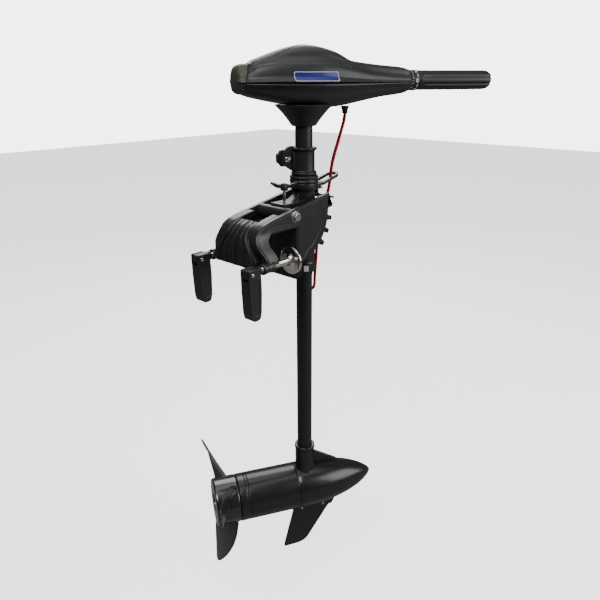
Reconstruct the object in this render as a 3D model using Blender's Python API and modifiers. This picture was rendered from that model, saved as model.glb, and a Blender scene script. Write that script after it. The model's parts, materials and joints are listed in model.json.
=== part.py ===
"""A transom-mount electric trolling motor: a clamp bracket, a tilting swivel, and a column
that steers and slides in it with the motor and propeller below and the tiller head above.

Metres, +Z up. X = 0 is the face that bears on the boat's transom, with -X into the boat, and
Y = 0 is the bracket's middle. The column is steered STEER_DEG away from straight ahead.
"""

import math

import bmesh
import bpy
from mathutils import Matrix, Vector

# Driving dimensions, in metres and degrees.
COLUMN_X = 0.062
STEER_DEG = -30.0
GAP = 0.0003
TUBE_R = 0.014
TUBE_TOP_Z = 0.214
TUBE_END_Z = -0.474

TILT_X = -0.003
TILT_Z = 0.058
TILT_BOLT_R = 0.0035
PLATE_IN_Y = 0.034
PLATE_T = 0.006
PLATE_OUT_Y = PLATE_IN_Y + PLATE_T
HOOK_Z = 0.040
WALL_BOTTOM_Z = -0.046
WALL_T = 0.006
ARC_R = 0.080
TEETH_R = 0.0905
TEETH_COUNT = 4
TEETH_PITCH_DEG = 14.4
TEETH_FIRST_DEG = 3.5

CLAMP_Y = 0.057
CLAMP_Z = -0.002
SCREW_R = 0.0045
BOSS_FRONT_X = -0.093
BOSS_REAR_X = -0.070
BOSS_R = 0.0085
PAD_R = 0.0215
PAD_FACE_X = -0.0285
YOKE_FRONT_X = -0.126
YOKE_REAR_X = -0.0995
GRIP_PIN_X = -0.1185

SLEEVE_R = 0.0182
SLEEVE_BORE_R = 0.0152
SLEEVE_BOTTOM_Z = -0.046
SLEEVE_TOP_Z = 0.098
COLLAR_BOTTOM_Z = 0.1108
COLLAR_TOP_Z = 0.154
KNOB_A = -0.0290
WING_X = 0.0155
WING_ROD_R = 0.0025
WING_Z = 0.0960
WING_DEG = -47.0
LEVER_X = COLUMN_X + 0.0262
LEVER_Z = 0.090
LOCK_BAR_R = 0.0945
LOCK_BAR_DEG = 10.2

MOTOR_Z = -0.512
MOTOR_R = 0.045
MOTOR_WALL = 0.003
HUB_A = -0.1405
HUB_END_A = -0.186
BELL_A = -0.120
MAGNET_A = -0.022
NOSE_START_A = -0.010
NOSE_TIP_A = 0.1435
NOSE_COLLAR_R = 0.0185
NOSE_COLLAR_TOP_Z = -0.415
PROP_R = 0.1370
PROP_ANGLE_DEG = 153.0
BLADE_COUNT = 3

HEAD_Z = 0.252
HEAD_REAR_A = -0.0940
HEAD_FRONT_A = 0.1765
HEAD_WALL = 0.0026
LABEL_T = 0.0008
NECK_BOTTOM_Z = 0.186
TILLER_R = 0.009
TILLER_START_A = -0.0400
DIAL_A = 0.1772
GRIP_A = 0.1925
GRIP_END_A = 0.329
GRIP_R = 0.015

LEAD_R = 0.0019
HANK_TOP_Z = -0.004
HANK_BOTTOM_Z = -0.0906
HANK_WIDTH = 0.027
HANK_DEPTH = 0.037
HANK_NEAR = SLEEVE_R + GAP

HEADING = Vector((math.cos(math.radians(STEER_DEG)), math.sin(math.radians(STEER_DEG)), 0.0))
SIDE = HEADING.cross(Vector((0.0, 0.0, 1.0)))
PARTS = None
CUTTERS = None
MATERIALS = {}


# --- Scene and materials ------------------------------------------------------------------

def clear_scene():
    for obj in list(bpy.data.objects):
        bpy.data.objects.remove(obj, do_unlink=True)


def new_collection(name):
    made = bpy.data.collections.new(name)
    bpy.context.scene.collection.children.link(made)
    return made


def material(name, colour, roughness, metallic=0.0):
    made = bpy.data.materials.new(name)
    made.use_nodes = True
    shader = made.node_tree.nodes["Principled BSDF"]
    shader.inputs["Base Color"].default_value = (*colour, 1.0)
    shader.inputs["Roughness"].default_value = roughness
    shader.inputs["Metallic"].default_value = metallic
    MATERIALS[name] = made


def make_materials():
    material("bracket_black", (0.020, 0.021, 0.022), 0.45)
    material("column_black", (0.022, 0.022, 0.024), 0.38)
    material("motor_black", (0.020, 0.021, 0.022), 0.30)
    material("head_charcoal", (0.045, 0.046, 0.048), 0.42)
    material("cap_olive", (0.050, 0.052, 0.044), 0.45)
    material("label_blue", (0.030, 0.040, 0.250), 0.35)
    material("grip_black", (0.018, 0.018, 0.019), 0.40)
    material("dial_black", (0.030, 0.030, 0.032), 0.40)
    material("prop_grey", (0.050, 0.052, 0.056), 0.22)
    material("chrome", (0.720, 0.700, 0.660), 0.14, 1.0)
    material("steel", (0.450, 0.450, 0.460), 0.30, 1.0)
    material("nylon_white", (0.750, 0.750, 0.720), 0.45)
    material("rubber_black", (0.015, 0.015, 0.015), 0.70)
    material("lead_red", (0.420, 0.012, 0.020), 0.40)
    material("lead_black", (0.015, 0.015, 0.016), 0.40)
    material("copper", (0.700, 0.300, 0.140), 0.35, 1.0)
    material("magnet_grey", (0.160, 0.160, 0.170), 0.55)
    material("switch_plastic", (0.060, 0.058, 0.055), 0.50)


# --- Shapes -------------------------------------------------------------------------------

def finish(obj, finish_name, collection=None):
    """Names the material and moves obj to its collection; round faces are shaded smooth."""
    for old in list(obj.users_collection):
        old.objects.unlink(obj)
    (collection or PARTS).objects.link(obj)
    obj.data.materials.clear()
    obj.data.materials.append(MATERIALS[finish_name])
    obj.data.shade_smooth()
    obj.data.set_sharp_from_angle(angle=math.radians(35))
    return obj


def object_from(bm, name, finish_name, collection=None):
    mesh = bpy.data.meshes.new(name)
    bmesh.ops.recalc_face_normals(bm, faces=bm.faces)
    bm.to_mesh(mesh)
    bm.free()
    obj = bpy.data.objects.new(name, mesh)
    bpy.context.scene.collection.objects.link(obj)
    return finish(obj, finish_name, collection)


def cutter(obj):
    """A helper that shapes another solid and isn't a part."""
    for old in list(obj.users_collection):
        old.objects.unlink(obj)
    CUTTERS.objects.link(obj)
    obj.hide_render = True
    obj.display_type = "WIRE"
    return obj


def along(start, end):
    """The matrix that takes the Z axis onto the line from start to end."""
    start, end = Vector(start), Vector(end)
    turn = (end - start).to_track_quat("Z", "Y").to_matrix().to_4x4()
    return Matrix.Translation(start) @ turn


def rod(name, start, end, radius, finish_name, sides=20, end_radius=None):
    """A round bar, or a cone, from start to end, with its origin at start."""
    length = (Vector(end) - Vector(start)).length
    bm = bmesh.new()
    bmesh.ops.create_cone(bm, cap_ends=True, segments=sides, radius1=radius,
                          radius2=radius if end_radius is None else end_radius, depth=length,
                          matrix=Matrix.Translation((0, 0, length / 2)))
    obj = object_from(bm, name, finish_name)
    obj.matrix_world = along(start, end)
    return obj


def box(name, low, high, finish_name, bevel=0.0):
    """A block between two corners, with its edges rounded by bevel."""
    low, high = Vector(low), Vector(high)
    bm = bmesh.new()
    bmesh.ops.create_cube(bm, size=1.0)
    bmesh.ops.scale(bm, vec=high - low, verts=bm.verts)
    obj = object_from(bm, name, finish_name)
    obj.location = (low + high) / 2
    if bevel:
        edge = obj.modifiers.new("edges", "BEVEL")
        edge.width = bevel
        edge.segments = 1
    return obj


def turned(name, profile, start, end, finish_name, steps=28):
    """A solid turned about the line from start to end. The profile is (radius, height) pairs
    that run down the outer side and, for a hollow shape, back up the inner side."""
    mesh = bpy.data.meshes.new(name)
    closed = profile[0][0] > 0
    edges = [(i, i + 1) for i in range(len(profile) - 1)]
    if closed:
        edges.append((len(profile) - 1, 0))
    mesh.from_pydata([(r, 0.0, z) for r, z in profile], edges, [])
    obj = bpy.data.objects.new(name, mesh)
    bpy.context.scene.collection.objects.link(obj)
    screw = obj.modifiers.new("turn", "SCREW")
    screw.steps = steps
    screw.render_steps = steps
    screw.use_merge_vertices = True
    screw.merge_threshold = 0.00005
    finish(obj, finish_name)
    obj.matrix_world = along(start, end)
    return obj


def baked(obj):
    """obj with its modifiers applied, as a mesh whose loose ends are welded."""
    graph = bpy.context.evaluated_depsgraph_get()
    mesh = bpy.data.meshes.new_from_object(obj.evaluated_get(graph))
    bm = bmesh.new()
    bm.from_mesh(mesh)
    bmesh.ops.remove_doubles(bm, verts=bm.verts, dist=0.00001)
    bmesh.ops.recalc_face_normals(bm, faces=bm.faces)
    bm.to_mesh(mesh)
    bm.free()
    made = bpy.data.objects.new(obj.name, mesh)
    made.matrix_world = obj.matrix_world.copy()
    name, groups = obj.name, list(obj.users_collection)
    bpy.data.objects.remove(obj, do_unlink=True)
    made.name = name
    for group in groups:
        group.objects.link(made)
    made.data.shade_smooth()
    made.data.set_sharp_from_angle(angle=math.radians(35))
    return made


def outline(name, points, thickness, finish_name, place):
    """A flat plate: a closed outline in its own XY plane, thickness thick about Z = 0."""
    curve = bpy.data.curves.new(name, "CURVE")
    curve.dimensions = "2D"
    curve.fill_mode = "BOTH"
    curve.extrude = thickness / 2
    spline = curve.splines.new("POLY")
    spline.points.add(len(points) - 1)
    for point, (x, y) in zip(spline.points, points):
        point.co = (x, y, 0.0, 1.0)
    spline.use_cyclic_u = True
    curve.materials.append(MATERIALS[finish_name])
    obj = bpy.data.objects.new(name, curve)
    PARTS.objects.link(obj)
    obj.matrix_world = place
    return baked(obj)


def in_xz(y):
    """Places an outline drawn as (x, z) in the plane of that y."""
    return Matrix.Translation((0, y, 0)) @ Matrix.Rotation(math.radians(90), 4, "X")


def on_heading(side=0.0):
    """Places an outline drawn as (distance along the heading, z) in the column's own plane."""
    turn = Matrix.Rotation(math.radians(STEER_DEG), 4, "Z")
    lift = Matrix.Rotation(math.radians(90), 4, "X")
    return Matrix.Translation(Vector((COLUMN_X, 0, 0)) + SIDE * side) @ turn @ lift


def at(a, side=0.0, z=0.0):
    """The point a ahead of the column's axis along the heading, and side to its right."""
    return Vector((COLUMN_X, 0.0, z)) + HEADING * a + SIDE * side


def change(target, other, operation="DIFFERENCE"):
    """Joins other to target or cuts it away; other becomes a helper."""
    step = target.modifiers.new(operation.lower(), "BOOLEAN")
    step.operation = operation
    step.solver = "EXACT"
    step.object = cutter(other)
    return target


def join(target, *others):
    for other in others:
        change(target, other, "UNION")
    return target


def cut(target, *others):
    for other in others:
        change(target, other)
    return target


def ring(name, start, end, outer, inner, finish_name, steps=28):
    """A plain tube from start to end."""
    height = (Vector(end) - Vector(start)).length
    profile = [(outer, height), (outer, 0.0), (inner, 0.0), (inner, height)]
    return turned(name, profile, start, end, finish_name, steps)


def wire(name, points, radius, finish_name, resolution=2):
    """A round wire along a smooth curve through points."""
    curve = bpy.data.curves.new(name, "CURVE")
    curve.dimensions = "3D"
    curve.bevel_depth = radius
    curve.bevel_resolution = resolution
    curve.use_fill_caps = True
    spline = curve.splines.new("POLY")
    spline.points.add(len(points) - 1)
    for point, place in zip(spline.points, points):
        point.co = (*place, 1.0)
    curve.materials.append(MATERIALS[finish_name])
    obj = bpy.data.objects.new(name, curve)
    PARTS.objects.link(obj)
    return obj


def smooth_route(points, step):
    """Points step apart along the Catmull-Rom curve through a hand-drawn route."""
    knots = [Vector(p) for p in points]
    knots = [2 * knots[0] - knots[1]] + knots + [2 * knots[-1] - knots[-2]]
    fine = []
    for a, b, c, d in zip(knots, knots[1:], knots[2:], knots[3:]):
        for i in range(24):
            t = i / 24
            fine.append(0.5 * (2 * b + (c - a) * t + (2 * a - 5 * b + 4 * c - d) * t * t
                               + (3 * b - a - 3 * c + d) * t ** 3))
    fine.append(knots[-2])
    kept = [fine[0]]
    for point in fine[1:-1]:
        if (point - kept[-1]).length >= step:
            kept.append(point)
    if (fine[-1] - kept[-1]).length < step / 2:
        kept.pop()
    kept.append(fine[-1])
    return kept


def smoothstep(value):
    value = min(1.0, max(0.0, value))
    return value * value * (3 - 2 * value)


def arc(centre, radius, start_deg, end_deg, count):
    """Points on an arc, from start_deg to end_deg, both ends included."""
    found = []
    for i in range(count + 1):
        turn = math.radians(start_deg + (end_deg - start_deg) * i / count)
        found.append((centre[0] + radius * math.cos(turn), centre[1] + radius * math.sin(turn)))
    return found


# --- Transom bracket ----------------------------------------------------------------------

PLATE_FRONT = [(-0.052, 0.0600), (-0.069, 0.0555), (-0.080, 0.0495), (-0.0865, 0.0415),
               (-0.0895, 0.0325), (-0.0880, 0.0215), (-0.0830, 0.0100), (-0.0820, -0.0020)]
THROAT_FRONT = [(-0.0580, -0.0020), (-0.0600, 0.0080), (-0.0665, 0.0250), (-0.0650, 0.0330),
                (-0.0570, 0.0400)]
SPLAY = CLAMP_Y - (PLATE_IN_Y + PLATE_OUT_Y) / 2
SPLAY_FROM_Z = 0.046
SPLAY_TO_Z = 0.002


def splayed(obj, behind_x=-0.052):
    """Leans the clamp arm outwards below its bend, so that it ends in line with its screw."""
    world = obj.matrix_world
    back = world.inverted()
    for vertex in obj.data.vertices:
        place = world @ vertex.co
        if place.x > behind_x:
            continue
        share = smoothstep((SPLAY_FROM_Z - place.z) / (SPLAY_FROM_Z - SPLAY_TO_Z))
        place.y += math.copysign(SPLAY * share, place.y)
        vertex.co = back @ place
    return obj


def toothed_arc():
    """The plate's rear edge, from its top corner down to the wall, with teeth on its rim."""
    centre = (TILT_X, TILT_Z)
    points = arc(centre, ARC_R + 0.006, 17.0, 14.0, 1)
    half = 2.9
    for i in range(TEETH_COUNT):
        middle = TEETH_FIRST_DEG - TEETH_PITCH_DEG * i
        points += arc(centre, ARC_R, middle + half, middle + half, 1)[:1]
        points += arc(centre, TEETH_R, middle + half - 0.6, middle - half + 0.6, 1)
        points += arc(centre, ARC_R, middle - half, middle - half, 1)[:1]
    points += arc(centre, ARC_R - 0.001, -70.0, -80.0, 2)
    return points


def side_plate(side, sign):
    middle_y = sign * (PLATE_IN_Y + PLATE_OUT_Y) / 2
    rear = toothed_arc()
    lower = [(0.0090, -0.0215), (WALL_T, WALL_BOTTOM_Z), (0.0, WALL_BOTTOM_Z), (0.0, HOOK_Z)]
    upright = rear + lower + THROAT_FRONT[::-1] + PLATE_FRONT[::-1]
    plate = splayed(outline(f"side_plate_{side}", upright, PLATE_T, "bracket_black",
                            in_xz(middle_y)))
    boss = rod("boss", (BOSS_FRONT_X, sign * CLAMP_Y, CLAMP_Z),
               (BOSS_REAR_X, sign * CLAMP_Y, CLAMP_Z), BOSS_R, "bracket_black")
    web_y = sign * CLAMP_Y
    bridge = box("boss_web", (-0.0815, web_y - 0.003, CLAMP_Z - 0.002),
                 (-0.0600, web_y + 0.003, 0.008), "bracket_black")
    inner = [(x + 0.0052, z - 0.0015 * (x > -0.07)) for x, z in PLATE_FRONT]
    band = [(-0.030, 0.0640)] + PLATE_FRONT + inner[::-1] + [(-0.030, 0.0595)]
    flange_y = sign * (PLATE_IN_Y - 0.006 + 0.0005)
    flange = splayed(outline("flange", band, 0.013, "bracket_black", in_xz(flange_y)), -0.020)
    join(plate, flange, boss)
    change(plate, bridge, "UNION")
    bore = rod("screw_bore", (BOSS_FRONT_X - 0.01, web_y, CLAMP_Z),
               (BOSS_REAR_X + 0.025, web_y, CLAMP_Z), SCREW_R + GAP, "bracket_black", 16)
    bolt_bore = rod("bolt_bore", (TILT_X, sign * 0.02, TILT_Z), (TILT_X, sign * 0.06, TILT_Z),
                    TILT_BOLT_R + GAP, "bracket_black", 16)
    return cut(plate, bore, bolt_bore)


def front_apron():
    """The curved wall between the two arms, with a rib down its middle."""
    outer = [(-0.0600, 0.0560), (-0.0760, 0.0500), (-0.0865, 0.0410), (-0.0918, 0.0290),
             (-0.0938, 0.0150), (-0.0945, -0.0060)]
    inner = [(x + 0.0042, z - 0.0020) for x, z in outer]
    inner[-1] = (outer[-1][0] + 0.0042, outer[-1][1])
    half = PLATE_IN_Y - 0.0127
    wall = outline("front_apron", outer + inner[::-1], 2 * half, "bracket_black", in_xz(0.0))
    spread = (half + SPLAY) / half - 1
    for vertex in wall.data.vertices:
        place = wall.matrix_world @ vertex.co
        share = smoothstep((SPLAY_FROM_Z - place.z) / (SPLAY_FROM_Z - SPLAY_TO_Z))
        place.y *= 1 + spread * share
        vertex.co = wall.matrix_world.inverted() @ place
    proud = [(x - 0.0022, z + 0.0006) for x, z in outer]
    rib = outline("apron_rib", proud + inner[::-1], 0.004, "bracket_black", in_xz(0.0))
    return join(wall, rib)


def transom_saddle():
    """The hook over the transom's top edge and the wall behind it, as one casting."""
    angle = [(-0.0520, HOOK_Z + 0.0060), (-0.0520, HOOK_Z), (0.0, HOOK_Z), (0.0, WALL_BOTTOM_Z),
             (WALL_T, WALL_BOTTOM_Z), (WALL_T, HOOK_Z + 0.0060)]
    saddle = outline("transom_saddle", angle, 2 * (PLATE_IN_Y - GAP), "bracket_black",
                     in_xz(0.0))
    for i in range(4):
        rib_y = -0.024 + 0.016 * i
        rib = box("wall_rib", (WALL_T - 0.001, rib_y - 0.0015, WALL_BOTTOM_Z + 0.002),
                  (WALL_T + 0.004, rib_y + 0.0015, HOOK_Z - 0.002), "bracket_black")
        join(saddle, rib)
    return saddle


def tilt_bolt_and_nut():
    bolt = rod("tilt_bolt", (TILT_X, -PLATE_OUT_Y - 0.0070, TILT_Z),
               (TILT_X, PLATE_OUT_Y + 0.0100, TILT_Z), TILT_BOLT_R, "steel", 16)
    head = rod("bolt_head", (TILT_X, -PLATE_OUT_Y - 0.0075, TILT_Z),
               (TILT_X, -PLATE_OUT_Y - GAP - 0.0010, TILT_Z), 0.0070, "steel", 6)
    washer = rod("bolt_washer", (TILT_X, -PLATE_OUT_Y - 0.0016, TILT_Z),
                 (TILT_X, -PLATE_OUT_Y - GAP, TILT_Z), 0.0088, "steel", 24)
    join(bolt, head, washer)
    nut = rod("tilt_nut", (TILT_X, PLATE_OUT_Y + GAP, TILT_Z),
              (TILT_X, PLATE_OUT_Y + 0.0080, TILT_Z), 0.0075, "steel", 6)
    bore = rod("nut_bore", (TILT_X, 0.030, TILT_Z), (TILT_X, 0.060, TILT_Z),
               TILT_BOLT_R + GAP, "steel", 16)
    return bolt, cut(nut, bore)


def clamp(side, sign):
    """A clamp screw with its swivelling pad, yoke, hinge pin and folding grip."""
    y = sign * CLAMP_Y
    pad = turned(f"clamp_pad_{side}",
                 [(0.0, 0.0105), (PAD_R - 0.002, 0.0105), (PAD_R, 0.0085), (PAD_R, 0.0065),
                  (PAD_R * 0.62, 0.0045), (SCREW_R + 0.0035, 0.0), (SCREW_R + GAP, 0.0),
                  (SCREW_R + GAP, 0.0055), (0.0, 0.0055)],
                 (PAD_FACE_X - 0.0105, y, CLAMP_Z), (PAD_FACE_X, y, CLAMP_Z), "chrome", 32)
    screw_tip = PAD_FACE_X - 0.0105 + 0.0055 - GAP
    screw = rod(f"clamp_screw_{side}", (YOKE_REAR_X - 0.006, y, CLAMP_Z),
                (screw_tip, y, CLAMP_Z), SCREW_R, "chrome", 16)
    yoke = box(f"clamp_yoke_{side}", (YOKE_FRONT_X, y - 0.0050, CLAMP_Z - 0.0065),
               (YOKE_REAR_X, y + 0.0050, CLAMP_Z + 0.0065), "bracket_black", 0.0012)
    yoke = baked(yoke)
    socket = rod("yoke_socket", (YOKE_REAR_X - 0.006 - GAP, y, CLAMP_Z),
                 (YOKE_REAR_X + 0.01, y, CLAMP_Z), SCREW_R + GAP, "bracket_black", 16)
    pin_bore = rod("yoke_pin_bore", (GRIP_PIN_X, y - 0.02, CLAMP_Z),
                   (GRIP_PIN_X, y + 0.02, CLAMP_Z), 0.0022 + GAP, "bracket_black", 12)
    cut(yoke, socket, pin_bore)
    pin = rod(f"clamp_hinge_pin_{side}", (GRIP_PIN_X, y - 0.0100, CLAMP_Z),
              (GRIP_PIN_X, y + 0.0100, CLAMP_Z), 0.0022, "chrome", 12)
    profile = [(-0.1255, 0.0050), (-0.1030, 0.0050), (-0.1020, -0.0300), (-0.1035, -0.0620),
               (-0.1060, -0.0720), (-0.1100, -0.0740), (-0.1180, -0.0740), (-0.1215, -0.0715),
               (-0.1235, -0.0620)]
    grip = outline(f"clamp_grip_{side}", profile, 0.0190, "bracket_black", in_xz(y))
    slot = box("grip_slot", (-0.130, y - 0.0050 - GAP, CLAMP_Z - 0.0108),
               (-0.098, y + 0.0050 + GAP, 0.010), "bracket_black")
    grip_bore = rod("grip_pin_bore", (GRIP_PIN_X, y - 0.02, CLAMP_Z),
                    (GRIP_PIN_X, y + 0.02, CLAMP_Z), 0.0022 + GAP, "bracket_black", 12)
    cut(grip, slot, grip_bore)
    return pad, screw, yoke, pin, grip


# --- Swivel, its lock and its screw -------------------------------------------------------

def swivel_block():
    """The hinge barrel on the tilt bolt, the arm to the column and the sleeve around it."""
    barrel = rod("swivel_block", (TILT_X, -PLATE_IN_Y + 0.0005, TILT_Z),
                 (TILT_X, PLATE_IN_Y - 0.0005, TILT_Z), 0.0105, "bracket_black", 24)
    arm = box("arm", (TILT_X + 0.002, -0.0150, 0.0500), (COLUMN_X - 0.010, 0.0150, 0.0720),
              "bracket_black")
    brace = outline("brace", [(TILT_X, 0.0560), (COLUMN_X - 0.010, 0.0560),
                              (COLUMN_X - 0.010, 0.0900), (COLUMN_X - 0.022, 0.0800)], 0.012,
                    "bracket_black", in_xz(0.0))
    sleeve = rod("sleeve", (COLUMN_X, 0, SLEEVE_BOTTOM_Z), (COLUMN_X, 0, SLEEVE_TOP_Z),
                 SLEEVE_R, "bracket_black", 28)
    rim = rod("sleeve_rim", (COLUMN_X, 0, SLEEVE_TOP_Z - 0.0060),
              (COLUMN_X, 0, SLEEVE_TOP_Z), 0.0225, "bracket_black", 28)
    ears = []
    for sign in (-1, 1):
        low = (COLUMN_X + 0.0140, sign * 0.0115 - 0.0020, LEVER_Z - 0.0045)
        high = (LEVER_X + 0.0045, sign * 0.0115 + 0.0020, LEVER_Z + 0.0045)
        ears.append(box("lever_ear", low, high, "bracket_black"))
    join(barrel, arm, brace, sleeve, rim, *ears)
    column_bore = rod("column_bore", (COLUMN_X, 0, SLEEVE_BOTTOM_Z - 0.01),
                      (COLUMN_X, 0, SLEEVE_TOP_Z + 0.01), SLEEVE_BORE_R, "bracket_black", 28)
    bolt_bore = rod("barrel_bore", (TILT_X, -0.05, TILT_Z), (TILT_X, 0.05, TILT_Z),
                    TILT_BOLT_R + GAP, "bracket_black", 16)
    pin_bore = rod("ear_bore", (LEVER_X, -0.03, LEVER_Z), (LEVER_X, 0.03, LEVER_Z),
                   0.0016 + GAP, "bracket_black", 12)
    rod_bore = rod("wing_bore", (WING_X, 0, 0.0600), (WING_X, 0, 0.0800), WING_ROD_R + GAP,
                   "bracket_black", 12)
    return cut(barrel, column_bore, bolt_bore, pin_bore, rod_bore)


def wing_screw():
    """The friction screw that bears on the swivel's arm, and its wing."""
    spindle = rod("wing_spindle", (WING_X, 0, 0.0603), (WING_X, 0, WING_Z - 0.0010), WING_ROD_R,
                  "chrome", 12)
    wing = [(-0.0210, 0.0075), (-0.0222, 0.0050), (-0.0130, -0.0020), (0.0, -0.0030),
            (0.0130, -0.0020), (0.0222, 0.0050), (0.0210, 0.0075), (0.0090, 0.0035),
            (-0.0090, 0.0035)]
    turn = Matrix.Rotation(math.radians(WING_DEG), 4, "Z") @ Matrix.Rotation(math.pi / 2, 4, "X")
    handle = outline("wing_handle", wing, 0.0100, "bracket_black",
                     Matrix.Translation((WING_X, 0, WING_Z + 0.0010)) @ turn)
    hub = rod("wing_hub", (WING_X, 0, WING_Z - 0.0050), (WING_X, 0, WING_Z + 0.0060), 0.0062,
              "bracket_black", 16)
    join(handle, hub)
    bore = rod("wing_socket", (WING_X, 0, WING_Z - 0.010), (WING_X, 0, WING_Z - 0.0010 + GAP),
               WING_ROD_R + GAP, "bracket_black", 12)
    return spindle, cut(handle, bore)


def tilt_lock():
    """The looped lever on its pin, and the bar that it swings against the toothed arcs."""
    pin = rod("lever_pin", (LEVER_X, -0.0150, LEVER_Z), (LEVER_X, 0.0150, LEVER_Z), 0.0016,
              "steel", 12)
    rise = Matrix.Translation((LEVER_X, 0, LEVER_Z)) @ Matrix.Rotation(math.radians(-14), 4, "Y")
    half_width = 0.0125
    inner_half = 0.0085
    near_x, far_x = 0.0085, 0.0575
    outer = [(near_x, -half_width)] + arc((far_x - half_width, 0), half_width, -90, 90, 8)
    outer += [(near_x, half_width)]
    lever = outline("tilt_lever", outer, 0.0050, "bracket_black", rise)
    opening = arc((near_x + 0.014, 0), inner_half, 90, 270, 6)
    opening += arc((far_x - half_width, 0), inner_half, -90, 90, 6)
    window = outline("lever_window", opening, 0.0200, "bracket_black", rise)
    barrel = rod("lever_barrel", (LEVER_X, -0.0088, LEVER_Z), (LEVER_X, 0.0088, LEVER_Z), 0.0036,
                 "bracket_black", 16)
    root = box("lever_root", (LEVER_X, -0.0088, LEVER_Z - 0.0005),
               (LEVER_X + 0.012, 0.0088, LEVER_Z + 0.0050), "bracket_black")
    bar_turn = math.radians(LOCK_BAR_DEG)
    bar_x = TILT_X + LOCK_BAR_R * math.cos(bar_turn)
    bar_z = TILT_Z + LOCK_BAR_R * math.sin(bar_turn)
    shank = box("lever_shank", (bar_x - 0.0020, -0.0060, bar_z - 0.0010),
                (bar_x + 0.0020, 0.0060, LEVER_Z), "bracket_black")
    bore = rod("lever_bore", (LEVER_X, -0.03, LEVER_Z), (LEVER_X, 0.03, LEVER_Z),
               0.0016 + GAP, "bracket_black", 12)
    join(lever, root, barrel, shank)
    bar_bore = rod("bar_bore", (bar_x, -0.03, bar_z), (bar_x, 0.03, bar_z), 0.0020 + GAP,
                   "bracket_black", 12)
    socket = rod("bar_socket", (bar_x, -0.0060, bar_z), (bar_x, 0.0060, bar_z), 0.0042,
                 "bracket_black", 12)
    join(lever, socket)
    cut(lever, window, bore, bar_bore)
    bar = rod("lock_bar", (bar_x, -PLATE_OUT_Y, bar_z), (bar_x, PLATE_OUT_Y, bar_z), 0.0020,
              "steel", 12)
    return pin, lever, bar


def bushes():
    """The white nylon bushes that the column turns in, one at each end of the sleeve."""
    upper = turned("upper_bush",
                   [(0.0236, 0.0242), (0.0236, 0.0123), (SLEEVE_BORE_R - GAP, 0.0123),
                    (SLEEVE_BORE_R - GAP, 0.0), (TUBE_R + GAP, 0.0), (TUBE_R + GAP, 0.0242)],
                   (COLUMN_X, 0, SLEEVE_TOP_Z - 0.0120), (COLUMN_X, 0, 0.2), "bracket_black")
    lower = turned("lower_bush",
                   [(SLEEVE_BORE_R - GAP, 0.0180), (SLEEVE_BORE_R - GAP, 0.0067),
                    (0.0176, 0.0067), (0.0176, 0.0), (TUBE_R + GAP, 0.0),
                    (TUBE_R + GAP, 0.0180)],
                   (COLUMN_X, 0, SLEEVE_BOTTOM_Z - 0.0070), (COLUMN_X, 0, 0.2), "nylon_white")
    return upper, lower


# --- Depth collar -------------------------------------------------------------------------

def depth_collar():
    """The clamp ring on the column, with its ear, its bolt and the knob that tightens it."""
    height = COLLAR_TOP_Z - COLLAR_BOTTOM_Z
    flange_r, body_r = 0.0208, 0.0175
    collar = turned("depth_collar",
                    [(flange_r, height), (flange_r, height - 0.0040),
                     (body_r, height - 0.0050), (body_r, 0.0080), (flange_r, 0.0060),
                     (flange_r, 0.0), (TUBE_R + GAP, 0.0), (TUBE_R + GAP, height)],
                    (COLUMN_X, 0, COLLAR_BOTTOM_Z), (COLUMN_X, 0, 1.0), "column_black")
    middle_z = (COLLAR_BOTTOM_Z + COLLAR_TOP_Z) / 2
    ear_points = [(-0.0150, middle_z - 0.0165), (-0.0150, middle_z + 0.0240),
                  (-0.0267, middle_z + 0.0232), (-0.0330, middle_z + 0.0165),
                  (-0.0375, middle_z + 0.0050), (-0.0370, middle_z - 0.0040),
                  (-0.0218, middle_z - 0.0150)]
    ear = outline("collar_ear", ear_points, 0.0080, "column_black", on_heading())
    knob_z = middle_z + 0.0033
    bolt_bore = rod("bolt_bore", at(KNOB_A, -0.02, knob_z), at(KNOB_A, 0.02, knob_z),
                    0.0025 + GAP, "column_black", 16)
    column = rod("collar_bore", (COLUMN_X, 0, COLLAR_BOTTOM_Z - 0.01),
                 (COLUMN_X, 0, COLLAR_TOP_Z + 0.01), TUBE_R + GAP, "column_black", 28)
    join(collar, ear)
    cut(collar, bolt_bore, column)
    knob = rod("collar_knob", at(KNOB_A, -0.0102, knob_z), at(KNOB_A, -0.0200, knob_z), 0.0142,
               "column_black", 24, 0.0134)
    hub = rod("knob_hub", at(KNOB_A, -0.0043, knob_z), at(KNOB_A, -0.0120, knob_z), 0.0070,
              "column_black", 16)
    join(knob, hub)
    for i in range(8):
        turn = 2 * math.pi * i / 8
        reach = 0.0150
        side = Vector((0, 0, 1)) * math.sin(turn) * reach + HEADING * math.cos(turn) * reach
        groove = rod("knob_groove", at(KNOB_A, -0.0080, knob_z) + side,
                     at(KNOB_A, -0.0300, knob_z) + side, 0.0022, "column_black", 8)
        cut(knob, groove)
    socket = rod("knob_bore", at(KNOB_A, 0.0, knob_z), at(KNOB_A, -0.0180, knob_z),
                 0.0025 + GAP, "column_black", 16)
    cut(knob, socket)
    bolt = rod("collar_bolt", at(KNOB_A, 0.0060, knob_z), at(KNOB_A, -0.0170, knob_z),
               0.0025, "chrome", 16)
    bolt_head = rod("collar_bolt_head", at(KNOB_A, 0.0040 + GAP, knob_z),
                    at(KNOB_A, 0.0075, knob_z), 0.0050, "chrome", 20)
    return collar, knob, join(bolt, bolt_head)


# --- Column, motor and skeg ---------------------------------------------------------------

def nose_radius(a, radius):
    """The motor's outer radius at a along its axis; its nose is a blunt ogive."""
    share = (a - NOSE_START_A) / (NOSE_TIP_A - NOSE_START_A)
    return radius if share <= 0 else radius * max(0.0, 1 - share ** 2.2) ** 0.68


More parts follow.
